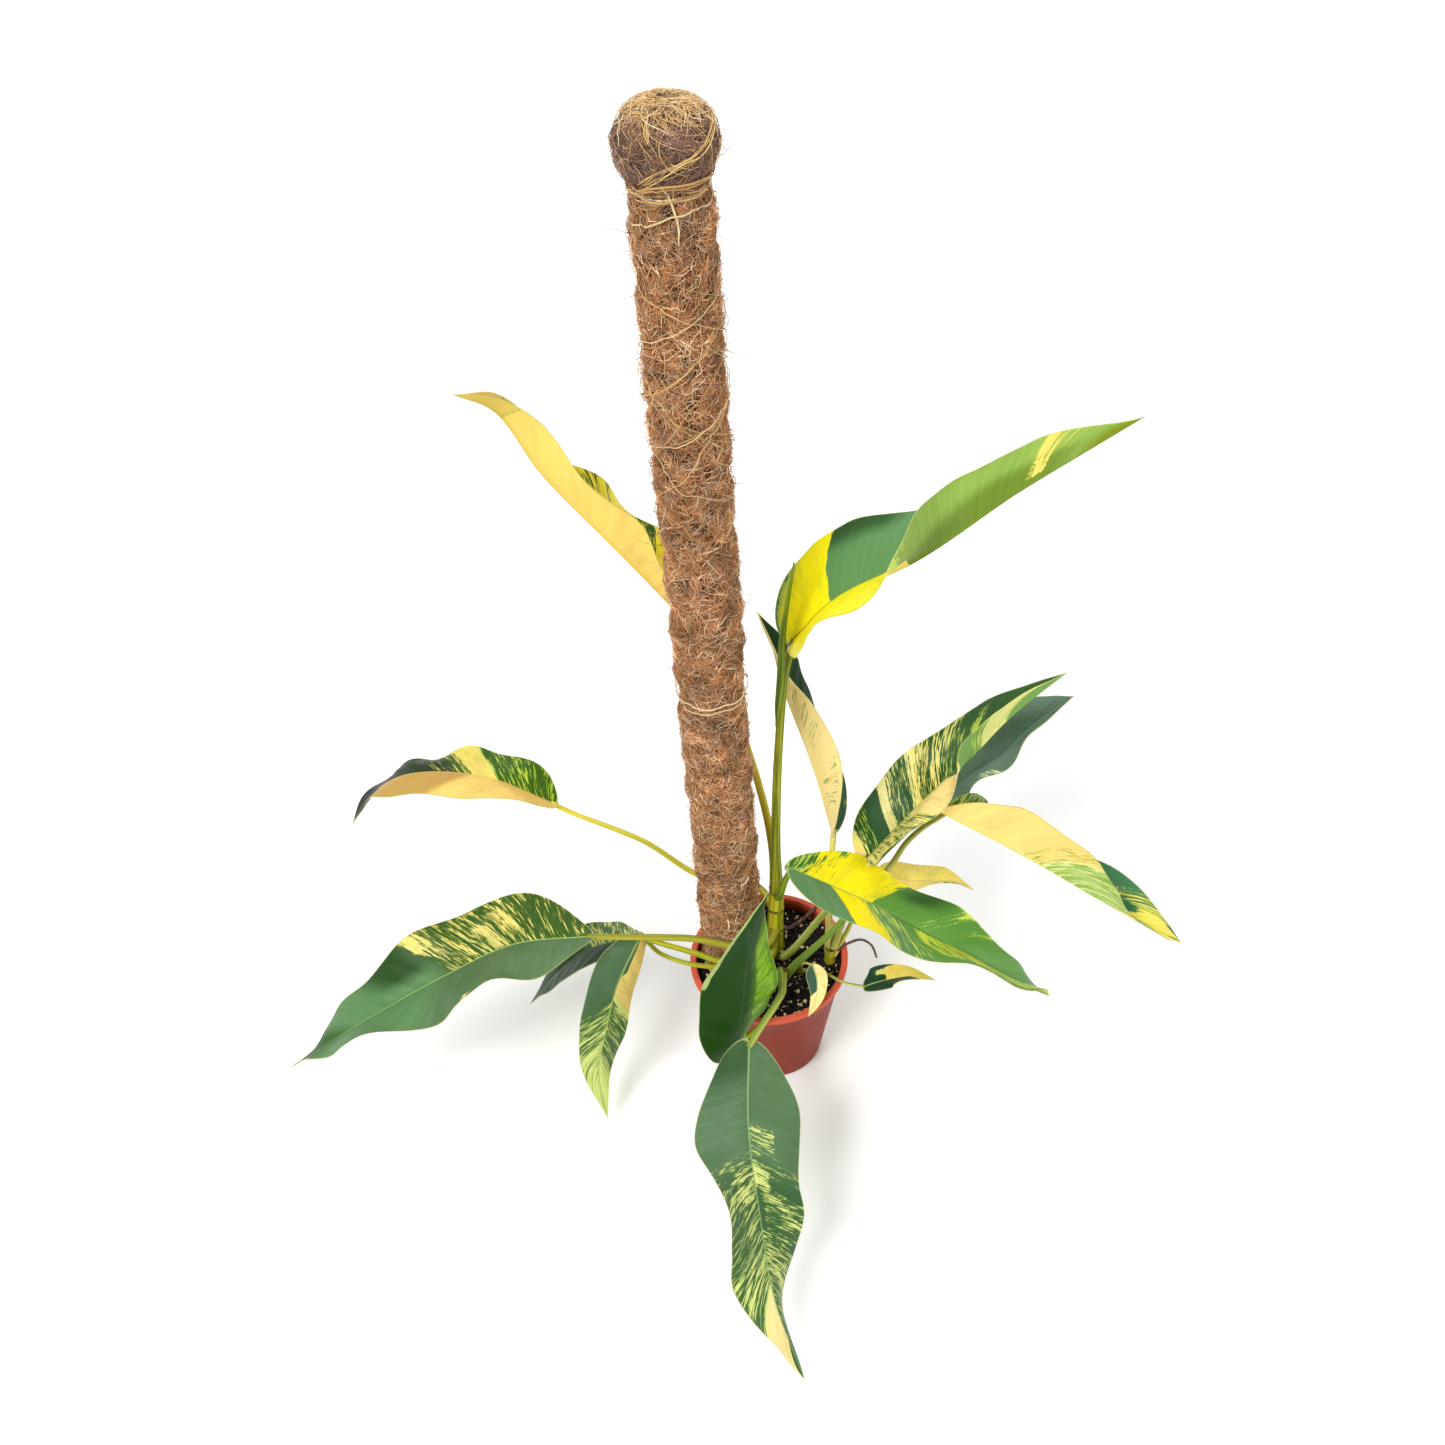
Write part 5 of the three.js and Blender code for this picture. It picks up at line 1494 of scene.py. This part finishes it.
# Strands round the pole: points of angle in degrees and height, and the half width
POLE_STRANDS = [
    ([(-161, 939), (-131, 947), (-87, 951), (-43, 949), (0, 944), (60, 938)], 1.2),
    ([(-170, 935), (-131, 944), (-87, 948), (-43, 947), (10, 940), (90, 934)], 0.8),
    ([(60, 931), (-14, 925), (-64, 928), (-106, 923), (-150, 916), (-190, 915)], 0.8),
    ([(-174, 924), (-135, 929), (-119, 931), (-98, 937)], 0.5),
    ([(-99, 952), (-90, 937), (-82, 921), (-84, 908)], 0.8),
    ([(-150, 940), (-200, 934), (-250, 940), (-300, 938)], 1.2),
]


# Raffia round the neck, in bundles over the ball and in the tuft on its crown. Pairs are
# the least and the most, and half is a strand's half width.
NECK = {
    "turns": 5,
    "spread": 3,
    "round": 1.02,
    "half": (0.5, 0.9),
    "lift": 0.3,
    "lift_step": 0.2,
    "lean": 3,
}
BUNDLE = {
    "strands_per_width": 1.7,
    "drift": 2.5,
    "beside": (1.1, 1.5),
    "half": 0.15,
    "lift": (0.4, 1.6),
}
TUFT = {
    "strands": 300,
    "top": (48, 70, 88),
    "length": (6, 34),
    "turn": 40,
    "half": (0.1, 0.28),
    "lift": (0.2, 2.6),
}
# Twine down from the neck and in short turns low on the pole, one strand across the
# string loop, and the loop itself
TWINE = {
    "strands": 12,
    "turns": (0.9, 1.7),
    "below": (-6, 120),
    "length": (130, 240),
    "half": (0.32, 0.5),
    "steps": 120,
    "lift": 2.7,
}
LOW_TWINE = {
    "strands": 6,
    "turns": (0.4, 0.9),
    "from": (60, 430),
    "length": (20, 60),
    "half": (0.22, 0.34),
    "steps": 60,
    "lift": 2.0,
}
CROSSING = {"points": [(-60, 470), (-6, 469), (40, 475)], "half": 0.6, "lift": 2.5}
LOOP = {"shifts": (3.5, 8), "first": 0.4, "half": 0.85, "steps": 80, "lift": 4.2, "lean": 6.5}


def strand(skin, rng, place, points, width, choices=RAFFIA_TINTS, lift=1.0):
    """A flat strand laid through points of the ball or of the pole."""
    spots = np.array(points, float)
    s = np.linspace(0, 1, 10 * (len(spots) - 1) + 1)
    if place == "ball":
        angle, tilt = np.radians(spots).T
        flat = np.stack([np.cos(angle) * np.cos(tilt), np.sin(angle) * np.cos(tilt), np.sin(tilt)], -1)
        out = unit(along(flat, s))
        swell = shoulder(np.arcsin(out[:, 2]))
        height = np.where(out[:, 2] > 0, POLE["ball_rise"], POLE["ball_radius"]) * swell + lift
        radius = POLE["ball_radius"] * swell + lift
        line = out * np.stack([radius, radius, height], -1)
        line = line + np.array([POLE["x"], POLE["y"], POLE["ball_height"]])
    else:
        way = along(spots, s)
        line, out = on_sleeve(np.radians(way[:, 0]), way[:, 1] - POLE["foot"], lift)
    thin = 1 - 0.75 * np.abs(2 * s - 1) ** 4
    line = line + out * (0.35 * np.sin(s * 17 + rng.uniform(0, TURN)))[:, None]
    hue = tints(rng, choices, 1)
    skin.add_tubes(line[None], out[None], (width * thin)[None], 0.15 + 0.15 * width, 6, tint=hue[None])


def wound(skin, rng, start, end, turns, first, width, steps=60, lift=1.3, lean=0.0, choices=TWINE_TINTS):
    """A strand wound round the sleeve from one t to another."""
    s = np.linspace(0, 1, steps)[None]
    wobble = np.sin(s * rng.uniform(9, 15) + rng.uniform(0, TURN)) * rng.uniform(0.5, 2.2)
    angle = first + s * turns * TURN + 0.08 * np.sin(s * rng.uniform(14, 30))
    t = start + (end - start) * s + wobble + lean * np.sin(angle)
    points, out = on_sleeve(angle, t, lift)
    flat = width * (0.9 + 0.2 * np.sin(s * 21 + first))
    skin.add_tubes(points, out, flat, 0.3 * width + 0.12, 5, tint=tints(rng, choices, 1)[None])


def neck_raffia(rng, neck):
    """Turns round the neck of the ball, with the strands that run off from them."""
    skin = Skin()
    for i in range(NECK["turns"]):
        low, high = (neck + rng.uniform(-NECK["spread"], NECK["spread"]) for _ in range(2))
        wound(skin, rng, low, high, NECK["round"], rng.uniform(0, TURN), rng.uniform(*NECK["half"]),
              lift=NECK["lift"] + NECK["lift_step"] * i, lean=rng.uniform(-NECK["lean"], NECK["lean"]),
              choices=RAFFIA_TINTS)
    for points, width in POLE_STRANDS:
        strand(skin, rng, "pole", points, width, lift=1.4)
    return skin


def ball_raffia(rng):
    """Bundles of strands over the ball and the fine tuft on its crown."""
    skin = Skin()
    for points, width in BALL_STRANDS:
        for shift_share in np.linspace(-1, 1, 1 + round(width * BUNDLE["strands_per_width"])):
            drift = rng.normal(0, BUNDLE["drift"], (len(points), 2))
            beside = np.array(points) + (drift + shift_share * width * np.array(BUNDLE["beside"]))
            strand(skin, rng, "ball", beside, BUNDLE["half"] + width / 6, lift=rng.uniform(*BUNDLE["lift"]))
    for _ in range(TUFT["strands"]):
        angle, high = rng.uniform(-180, 180), rng.triangular(*TUFT["top"])
        low, turn = high - rng.uniform(*TUFT["length"]), rng.normal(0, TUFT["turn"])
        points = [(angle + turn, low), (angle + turn / 2, (low + high) / 2), (angle, high)]
        strand(skin, rng, "ball", points, rng.uniform(*TUFT["half"]), TUFT_TINTS, rng.uniform(*TUFT["lift"]))
    return skin


def crossing_twine(rng, neck):
    """Twine that crosses down the pole both ways, with short turns low on it."""
    skin = Skin()
    for i in range(TWINE["strands"]):
        turns = rng.uniform(*TWINE["turns"]) * (1 if i % 2 else -1)
        start = neck - rng.uniform(*TWINE["below"])
        end = start - rng.uniform(*TWINE["length"])
        first, half = rng.uniform(0, TURN), rng.uniform(*TWINE["half"])
        wound(skin, rng, start, end, turns, first, half, TWINE["steps"], TWINE["lift"])
    for _ in range(LOW_TWINE["strands"]):
        start = rng.uniform(*LOW_TWINE["from"])
        end = start + rng.uniform(*LOW_TWINE["length"])
        turns = rng.uniform(*LOW_TWINE["turns"])
        first, half = rng.uniform(0, TURN), rng.uniform(*LOW_TWINE["half"])
        wound(skin, rng, start, end, turns, first, half, LOW_TWINE["steps"], LOW_TWINE["lift"])
    strand(skin, rng, "pole", CROSSING["points"], CROSSING["half"], TWINE_TINTS, CROSSING["lift"])
    return skin


def string_turns(rng, loop):
    """Two turns of pale string about the waist of the pole."""
    skin = Skin()
    for up in LOOP["shifts"]:
        wound(skin, rng, loop + up, loop + up, 1.0, LOOP["first"], LOOP["half"], LOOP["steps"], LOOP["lift"],
              LOOP["lean"], STRING_TINTS)
    return skin


def coir_sleeve():
    """The closed felt body of the pole and its ball."""
    skin = Skin()
    angles = np.arange(SLEEVE["sides"]) / SLEEVE["sides"] * TURN
    angle, t = np.meshgrid(angles, np.linspace(0, SLEEVE_LENGTH - SLEEVE["end_gap"], SLEEVE["rows"]))
    points, _ = on_sleeve(angle, t, SLEEVE["level"])
    index, quads = ring_quads(SLEEVE["rows"], SLEEVE["sides"])
    # how deep each point lies in a hollow, which the felt's finish paints as shade
    hollow = -knots(angle, sleeve(angle, t)[1]).ravel()
    ends = [points[0].mean(0), points[-1].mean(0)]
    skin.add(np.vstack([points.reshape(-1, 3), ends]), quads, end_fans(index), hollow=np.r_[hollow, 0, 0])
    return skin


# Round pieces

def turned(skin, profile, segments, **values):
    """A closed solid of revolution about the pot's axis from pairs of radius and height."""
    rings = [(r, z) for r, z in profile if r > 0]
    angles = np.arange(segments) / segments * TURN
    r, z = np.array(rings).T
    across = r[:, None] * np.cos(angles), r[:, None] * np.sin(angles)
    points = np.stack([*across, z[:, None] + 0 * angles], -1)
    index, quads = ring_quads(len(rings), segments)
    centres = [[0, 0, profile[0][1]], [0, 0, profile[-1][1]]]
    skin.add(np.vstack([points.reshape(-1, 3), centres]), quads, end_fans(index), **values)


def arc(centre, radius, start, end, steps=5):
    """Points of an arc in a profile, angles in degrees."""
    angles = np.radians(np.linspace(start, end, steps))
    return [(centre[0] + radius * math.cos(a), centre[1] + radius * math.sin(a)) for a in angles]


def pot_inside(z):
    """Radius of the pot's inner wall at a height."""
    share = (z - POT["chamfer"]) / (POT["height"] - POT["lip_height"] - POT["chamfer"])
    return POT["foot_radius"] + (POT["neck_radius"] - POT["foot_radius"]) * share - POT["wall"]


def pot_profile():
    """Half section of the pot, from the middle of its foot round to the middle of its floor."""
    foot, chamfer, height = POT["foot_radius"], POT["chamfer"], POT["height"]
    neck, lip, soft = POT["neck_radius"], POT["lip_radius"], POT["lip_round"]
    lip_low = height - POT["lip_height"]
    band_low = lip_low - POT["band_height"]
    profile = [(0, 0), (foot - chamfer, 0), *arc((foot - chamfer, chamfer), chamfer, -90, 0)[1:]]
    low = np.array((foot, chamfer))
    high = np.array((neck - POT["band_step"], band_low - POT["band_step"] / 2))
    for k in range(1, POT["wall_rows"] + 1):
        profile.append(tuple(low + (high - low) * k / POT["wall_rows"]))
    profile += [(neck, band_low), (neck, lip_low), (lip - soft, lip_low)]
    profile += arc((lip - soft, lip_low + soft), soft, -90, 0)[1:]
    profile += arc((lip - soft, height - soft), soft, 0, 90)
    inner = neck - POT["wall"]
    profile += arc((inner + soft, height - soft), soft, 90, 180)
    return profile + [(inner, lip_low), (pot_inside(POT["floor"]), POT["floor"]), (0, POT["floor"])]


def cut_drain_holes(pot, context):
    """Cuts the drainage holes through the pot's floor."""
    drills = []
    for i in range(POT["drain_holes"]):
        angle = (i + 0.5) / POT["drain_holes"] * TURN
        across = [POT["drain_circle"] * turn * MM for turn in (math.cos(angle), math.sin(angle))]
        bpy.ops.mesh.primitive_cylinder_add(
            vertices=32, radius=POT["drain_radius"] * MM,
            depth=POT["drill_depth"] * MM, location=(*across, 0))
        drills.append(context.object)
        cut = pot.modifiers.new("drain", "BOOLEAN")
        cut.object = drills[-1]
        cut.solver = "EXACT"
    cut_mesh = bpy.data.meshes.new_from_object(pot.evaluated_get(context.evaluated_depsgraph_get()))
    pot.modifiers.clear()
    pot.data = cut_mesh
    for drill in drills:
        bpy.data.objects.remove(drill)


# Grains on the soil: radius is the least and the most, and raised is the share
# of it that lifts the centre
GRAIN = {"rough": 0.16, "stretch": (0.65, 1.25), "mostly_small": 1.7, "margin": 2.0}
CRUMBS = {"count": 1300, "detail": 1, "radius": (0.9, 2.6), "raised": 0.15}
PERLITE = {"detail": 2, "radius": (0.5, 1.9), "raised": 0.3}


def lumps(rng, count, detail):
    """Rough round grains of radius one, of shape (count, points, 3), and their faces."""
    bpy.ops.mesh.primitive_ico_sphere_add(subdivisions=detail, radius=1)
    ball = bpy.context.object
    points = np.array([v.co for v in ball.data.vertices])
    faces = np.array([p.vertices[:] for p in ball.data.polygons])
    data = ball.data
    bpy.data.objects.remove(ball)
    bpy.data.meshes.remove(data)
    rough = points[None] * (1 + rng.normal(0, GRAIN["rough"], (count, len(points), 1)))
    return rough * rng.uniform(*GRAIN["stretch"], (count, 1, 3)), faces


def on_soil(rng, count):
    """Places on the soil that are clear of the pole and the stems."""
    places = np.zeros((0, 2))
    keep_out = [((POLE["x"], POLE["y"]), POLE["radius"])]
    keep_out += [(stem["path"][1][:2], stem["radius"][0]) for stem in STEMS]
    while len(places) < count:
        angle, r = rng.uniform(0, TURN, count), SOIL["reach"] * np.sqrt(rng.random(count))
        p = np.stack([r * np.cos(angle), r * np.sin(angle)], -1)
        clear = np.ones(count, bool)
        for centre, radius in keep_out:
            clear &= np.linalg.norm(p - np.array(centre), axis=1) > radius + GRAIN["margin"]
        places = np.vstack([places, p[clear]])
    return places[:count]


def soil_height(x, y):
    """Height of the uneven top of the soil."""
    p = np.stack([x, y, 0 * x], -1)
    return SOIL["top"] + 1.3 * ripple(p, 30, 21) + 0.9 * ripple(p, 9, 22) + 0.5 * ripple(p, 4, 23)


def soil_body():
    """The potting mix, which fills the pot up to its uneven top."""
    skin = Skin()
    edge, low = pot_inside(SOIL["top"]) - SOIL["gap"], POT["floor"] + SOIL["gap"]
    rings = [edge * (k / SOIL["rings"]) ** 0.8 for k in range(SOIL["rings"], 0, -1)]
    profile = [(0, low), (pot_inside(POT["floor"]) - SOIL["gap"], low)]
    profile += [(r, SOIL["top"]) for r in rings] + [(0, SOIL["top"])]
    turned(skin, profile, SOIL["segments"])
    points = skin.points[0]
    top = points[:, 2] > SOIL["top"] - 1
    points[top, 2] = soil_height(points[top, 0], points[top, 1])
    return skin


def scatter(rng, count, detail, radius, raised):
    """Rough grains strewn over the soil, most of them small."""
    shapes, faces = lumps(rng, count, detail)
    places = on_soil(rng, count)
    size = radius[0] + (radius[1] - radius[0]) * rng.random(count) ** GRAIN["mostly_small"]
    z = soil_height(places[:, 0], places[:, 1]) + size * raised
    points = shapes * size[:, None, None] + np.c_[places, z][:, None]
    index = faces[None] + (np.arange(count) * shapes.shape[1])[:, None, None]
    skin = Skin()
    skin.add(points, triangles=index)
    return skin


# Settings that a user would change

class PlantLooks(bpy.types.PropertyGroup):
    leaf_shade: bpy.props.FloatVectorProperty(
        name="Leaf Shade", description="What the darker clouds in the green ground are multiplied by",
        subtype="COLOR", default=(0.62, 0.74, 0.62), min=0, max=1)
    pot_body: bpy.props.FloatVectorProperty(
        name="Pot Body", description="Colour of the pot's wall",
        subtype="COLOR", default=tone("#8a3322"), min=0, max=1)
    # the lip's colour is paler than the wall's mostly as painted light from above
    pot_lip_with_painted_light: bpy.props.FloatVectorProperty(
        name="Pot Lip", description="Colour of the pot's lip",
        subtype="COLOR", default=tone("#cf5b42"), min=0, max=1)
    coir_fibres: bpy.props.IntProperty(
        name="Coir Fibres", description="Number of fibres matted on the pole",
        default=29000, min=100, max=40000)
    ball_fibres: bpy.props.IntProperty(
        name="Ball Fibres", description="Number of fibres on the ball",
        default=5400, min=100, max=7000)
    loose_hairs: bpy.props.IntProperty(
        name="Loose Hairs", description="Number of hairs that stand off the pole",
        default=1600, min=0, max=3000)
    perlite_grains: bpy.props.IntProperty(
        name="Perlite Grains", description="Number of pale grains on the soil",
        default=440, min=0, max=1000)


# The camera: place in millimetres, angles in degrees, and the focal length in pixels of
# the photo's frame
CAMERA = {
    "place": (-26.5, -984, 1497),
    "pitch": 46.45,
    "roll": -4.5,
    "focal_pixels": 1750,
    "frame_pixels": 1445,
    "film": 36,
}
# Lights: place and width in metres, and power in watts
LIGHTS = [
    ("key", (-2.6, -3.0, 5.2), 2.6, 320),
    ("fill", (4.2, -1.4, 4.0), 3.6, 110),
    ("back", (0.8, 4.2, 4.4), 3.2, 120),
]
LIGHTS_AIM = (0, 0, 0.4)
SKY = {"colour": (0.96, 0.98, 1.0, 1), "strength": 0.52}
FLOOR = {"size": 12, "height": -0.0005}


def add_camera(scene):
    """The camera at the photo's angle."""
    pitch, roll = math.radians(CAMERA["pitch"]), math.radians(CAMERA["roll"])
    forward = Vector((0, math.cos(pitch), -math.sin(pitch)))
    level, steep = Vector((1, 0, 0)), Vector((0, math.sin(pitch), math.cos(pitch)))
    right = level * math.cos(roll) + steep * math.sin(roll)
    up = steep * math.cos(roll) - level * math.sin(roll)
    data = bpy.data.cameras.new("camera")
    data.sensor_width = CAMERA["film"]
    data.lens = CAMERA["film"] * CAMERA["focal_pixels"] / CAMERA["frame_pixels"]
    camera = bpy.data.objects.new("camera", data)
    turn = Matrix((right, up, -forward)).transposed().to_4x4()
    camera.matrix_world = Matrix.Translation(Vector(CAMERA["place"]) * MM) @ turn
    scene.collection.objects.link(camera)
    scene.camera = camera


def add_lamp(scene, name, place, size, power):
    """A soft round light that faces the plant."""
    light = bpy.data.lights.new(name, "AREA")
    light.shape = "DISK"
    light.size = size
    light.energy = power
    lamp = bpy.data.objects.new(name, light)
    lamp.location = place
    lamp.rotation_euler = (Vector(LIGHTS_AIM) - Vector(place)).to_track_quat("-Z", "Y").to_euler()
    scene.collection.objects.link(lamp)


def add_stem(piece, node, slot, finish, path, radius, looks, seed, scar=0.0):
    """A round stem, spear or root along a path, its radius and scars given along it."""
    route = Route(path)
    t = np.linspace(0, 1, len(radius))
    points = route.at(t)[None]
    low, high, cover = looks
    ring = (scar + 0 * t > 0.5)[None, :, None] * 1.0
    ground = np.array(tone(low)) * (1 - ring) + np.array(tone("bark")) * ring
    sides = STEM["sides"]
    width = radius.mean() * 2.2 + 0 * t[:, None]
    around = np.abs((np.arange(sides) + 0.5) / (sides / 2) - 1)[None] * width
    stripe = np.broadcast_to((t * route.length * STALK["stripe"])[:, None], around.shape)
    vein = np.stack([stripe, around, 0 * around + seed], -1)[None]
    normals = np.broadcast_to([0.2, -1, 0.1], points.shape)
    skin = Skin()
    skin.add_tubes(points, normals, radius[None], radius[None], sides, under=STEM["under"],
                   rib_tone=tone(low), vein=vein, ground=ground, pale=tone(high), cover=cover,
                   rib_distance=FAR, edge_distance=FAR)
    skin.build(piece, finish, slot, node)


class PlantStep:
    """What the operators share."""

    bl_options = {"REGISTER", "UNDO"}


class PLANT_OT_stage(PlantStep, bpy.types.Operator):
    """Add the floor, the soft lights and the camera"""

    bl_idname = "pole_plant.stage"
    bl_label = "Add Stage"

    def execute(self, context):
        scene = context.scene
        scene.view_settings.view_transform = "Standard"
        bpy.ops.mesh.primitive_plane_add(size=FLOOR["size"], location=(0, 0, FLOOR["height"]))
        floor = context.object
        floor.name = "floor"
        floor.data.materials.append(floor_finish())
        world = scene.world or bpy.data.worlds.new("studio")
        scene.world = world
        world.use_nodes = True
        sky = world.node_tree.nodes["Background"]
        sky.inputs["Color"].default_value = SKY["colour"]
        sky.inputs["Strength"].default_value = SKY["strength"]
        for lamp in LIGHTS:
            add_lamp(scene, *lamp)
        add_camera(scene)
        return {"FINISHED"}


class PLANT_OT_leaves(PlantStep, bpy.types.Operator):
    """Add the sixteen leaves with their petioles"""

    bl_idname = "pole_plant.leaves"
    bl_label = "Add Leaves"

    def execute(self, context):
        finish = leaf_finish(tuple(context.scene.plant_looks.leaf_shade))
        slots = {part["node"]: part["material_slot"] for part in frame["record"]["subparts"]}
        for number, leaf in enumerate(LEAVES, 1):
            skin = Skin()
            add_blade(skin, leaf, number)
            add_stalk(skin, leaf, number)
            skin.build(leaf["name"] + "_leaf", finish, slots[leaf["name"]], leaf["name"])
        return {"FINISHED"}


class PLANT_OT_stems(PlantStep, bpy.types.Operator):
    """Add the stems, the rolled new leaf and the aerial roots"""

    bl_idname = "pole_plant.stems"
    bl_label = "Add Stems"

    def execute(self, context):
        green = bpy.data.materials["variegated_leaf_skin"]
        t = np.linspace(0, 1, STEM["rows"])
        for number, stem in enumerate(STEMS):
            scar = np.maximum(0, np.cos(t * stem["nodes"] * TURN)) ** 8
            radius = along(stem["radius"], t) * (1 + STEM["scar"] * scar)
            add_stem(stem["name"] + "_skin", stem["name"], "stem_green", green, stem["path"], radius,
                     ("stalk yellow", "olive", 0.4), SEEDS["stems"] + number, scar)
        thin = SPEAR["foot_radius"]
        radius = along(SPEAR["radius"], t) * (thin + (1 - thin) * smooth(t / SPEAR["foot"]))
        add_stem("rolled_new_leaf", "new_leaf_spear", "stem_green", green, SPEAR["path"], radius,
                 ("dark olive", "olive", 0.45), SEEDS["spear"])
        bark = wood_finish("root_bark", tone("#6e5048"), tone("#3a2824"))
        t = np.linspace(0, 1, STEM["root_rows"])
        for number, root in enumerate(ROOTS):
            lump = STEM["root_lump"] * np.sin(t * 47) * np.sin(t * 31 + 1)
            add_stem(root["name"] + "_bark", root["name"], "root_bark", bark, root["path"],
                     along(root["radius"], t) * (1 + lump), ("root", "root", NONE), SEEDS["roots"] + number)
        return {"FINISHED"}


class PLANT_OT_pole(PlantStep, bpy.types.Operator):
    """Add the coir sleeve with its ball, its matted fibres and its loose hairs"""

    bl_idname = "pole_plant.pole"
    bl_label = "Add Coir Pole"

    def execute(self, context):
        looks = context.scene.plant_looks
        stake = frame["nodes"]["pole_stake"].data.materials
        stake.clear()
        stake.append(wood_finish("stake_wood", tone("#b08d62"), tone("#7d5c3a")))
        coir_sleeve().build("coir_sleeve", coir_finish(), "coir", "coir_wrap")
        fibre = fibre_finish("coir_fibre", 0.75)
        lengths = FIBRE["lengths_of_pole"]
        ball_from = NECK_TIE - POLE["foot"]
        for i in range(lengths):
            rng = np.random.default_rng(SEEDS["fibres"] + i)
            skin = Skin()
            low, high = ball_from * i / lengths, ball_from * (i + 1) / lengths
            matted_fibres(skin, rng, looks.coir_fibres // lengths, low, high, COIR_TINTS)
            skin.build(f"coir_fibres_{i + 1}", fibre, "coir")
        skin = Skin()
        rng = np.random.default_rng(SEEDS["ball"])
        matted_fibres(skin, rng, looks.ball_fibres, ball_from, SLEEVE_LENGTH - FIBRE["ball_gap"], BALL_TINTS)
        skin.build("ball_fibres", fibre, "coir")
        skin = Skin()
        loose_hairs(skin, np.random.default_rng(SEEDS["hairs"]), looks.loose_hairs, COIR_TINTS)
        skin.build("loose_coir_hairs", fibre, "coir")
        return {"FINISHED"}


class PLANT_OT_ties(PlantStep, bpy.types.Operator):
    """Add the raffia at the neck and over the ball, the twine down the pole and the string loop"""

    bl_idname = "pole_plant.ties"
    bl_label = "Add Ties"

    def execute(self, context):
        finish = fibre_finish("raffia", 0.6, 0.3)
        rng = np.random.default_rng(SEEDS["ties"])
        neck, loop = NECK_TIE - POLE["foot"], STRING_LOOP - POLE["foot"]
        neck_raffia(rng, neck).build("neck_raffia", finish, "raffia", "neck_tie")
        ball_raffia(rng).build("ball_raffia", finish, "raffia")
        crossing_twine(rng, neck).build("crossing_twine", finish, "raffia")
        string_turns(rng, loop).build("string_turns", finish, "raffia", "string_loop")
        return {"FINISHED"}


class PLANT_OT_pot(PlantStep, bpy.types.Operator):
    """Add the plastic pot"""

    bl_idname = "pole_plant.pot"
    bl_label = "Add Pot"

    def execute(self, context):
        looks = context.scene.plant_looks
        skin = Skin()
        turned(skin, pot_profile(), POT["segments"])
        finish = pot_finish(tuple(looks.pot_body), tuple(looks.pot_lip_with_painted_light))
        cut_drain_holes(skin.build("nursery_pot", finish, "pot_plastic", "pot"), context)
        return {"FINISHED"}


class PLANT_OT_soil(PlantStep, bpy.types.Operator):
    """Add the potting mix with its crumbs and perlite"""

    bl_idname = "pole_plant.soil"
    bl_label = "Add Soil"

    def execute(self, context):
        finish = soil_finish()
        soil_body().build("potting_mix_body", finish, "potting_mix", "soil")
        rng = np.random.default_rng(SEEDS["soil"])
        scatter(rng, **CRUMBS).build("soil_crumbs", finish, "potting_mix")
        grains = scatter(rng, context.scene.plant_looks.perlite_grains, **PERLITE)
        grains.build("perlite_grains", perlite_finish(), "potting_mix")
        return {"FINISHED"}


STEPS = (
    PLANT_OT_stage,
    PLANT_OT_leaves,
    PLANT_OT_stems,
    PLANT_OT_pole,
    PLANT_OT_ties,
    PLANT_OT_pot,
    PLANT_OT_soil,
)


class PLANT_PT_panel(bpy.types.Panel):
    """Steps that build the plant"""

    bl_idname = "PLANT_PT_panel"
    bl_label = "Pole Plant"
    bl_space_type = "VIEW_3D"
    bl_region_type = "UI"
    bl_category = "Pole Plant"

    def draw(self, context):
        looks = context.scene.plant_looks
        for name in PlantLooks.__annotations__:
            self.layout.prop(looks, name)
        for step in STEPS:
            self.layout.operator(step.bl_idname)


CLASSES = (PlantLooks, *STEPS, PLANT_PT_panel)


def register():
    for cls in CLASSES:
        bpy.utils.register_class(cls)
    bpy.types.Scene.plant_looks = bpy.props.PointerProperty(type=PlantLooks)


def unregister():
    del bpy.types.Scene.plant_looks
    for cls in reversed(CLASSES):
        bpy.utils.unregister_class(cls)


def main():
    register()
    for step in STEPS:
        group, name = step.bl_idname.split(".")
        getattr(getattr(bpy.ops, group), name)()


if __name__ == "__main__":
    main()
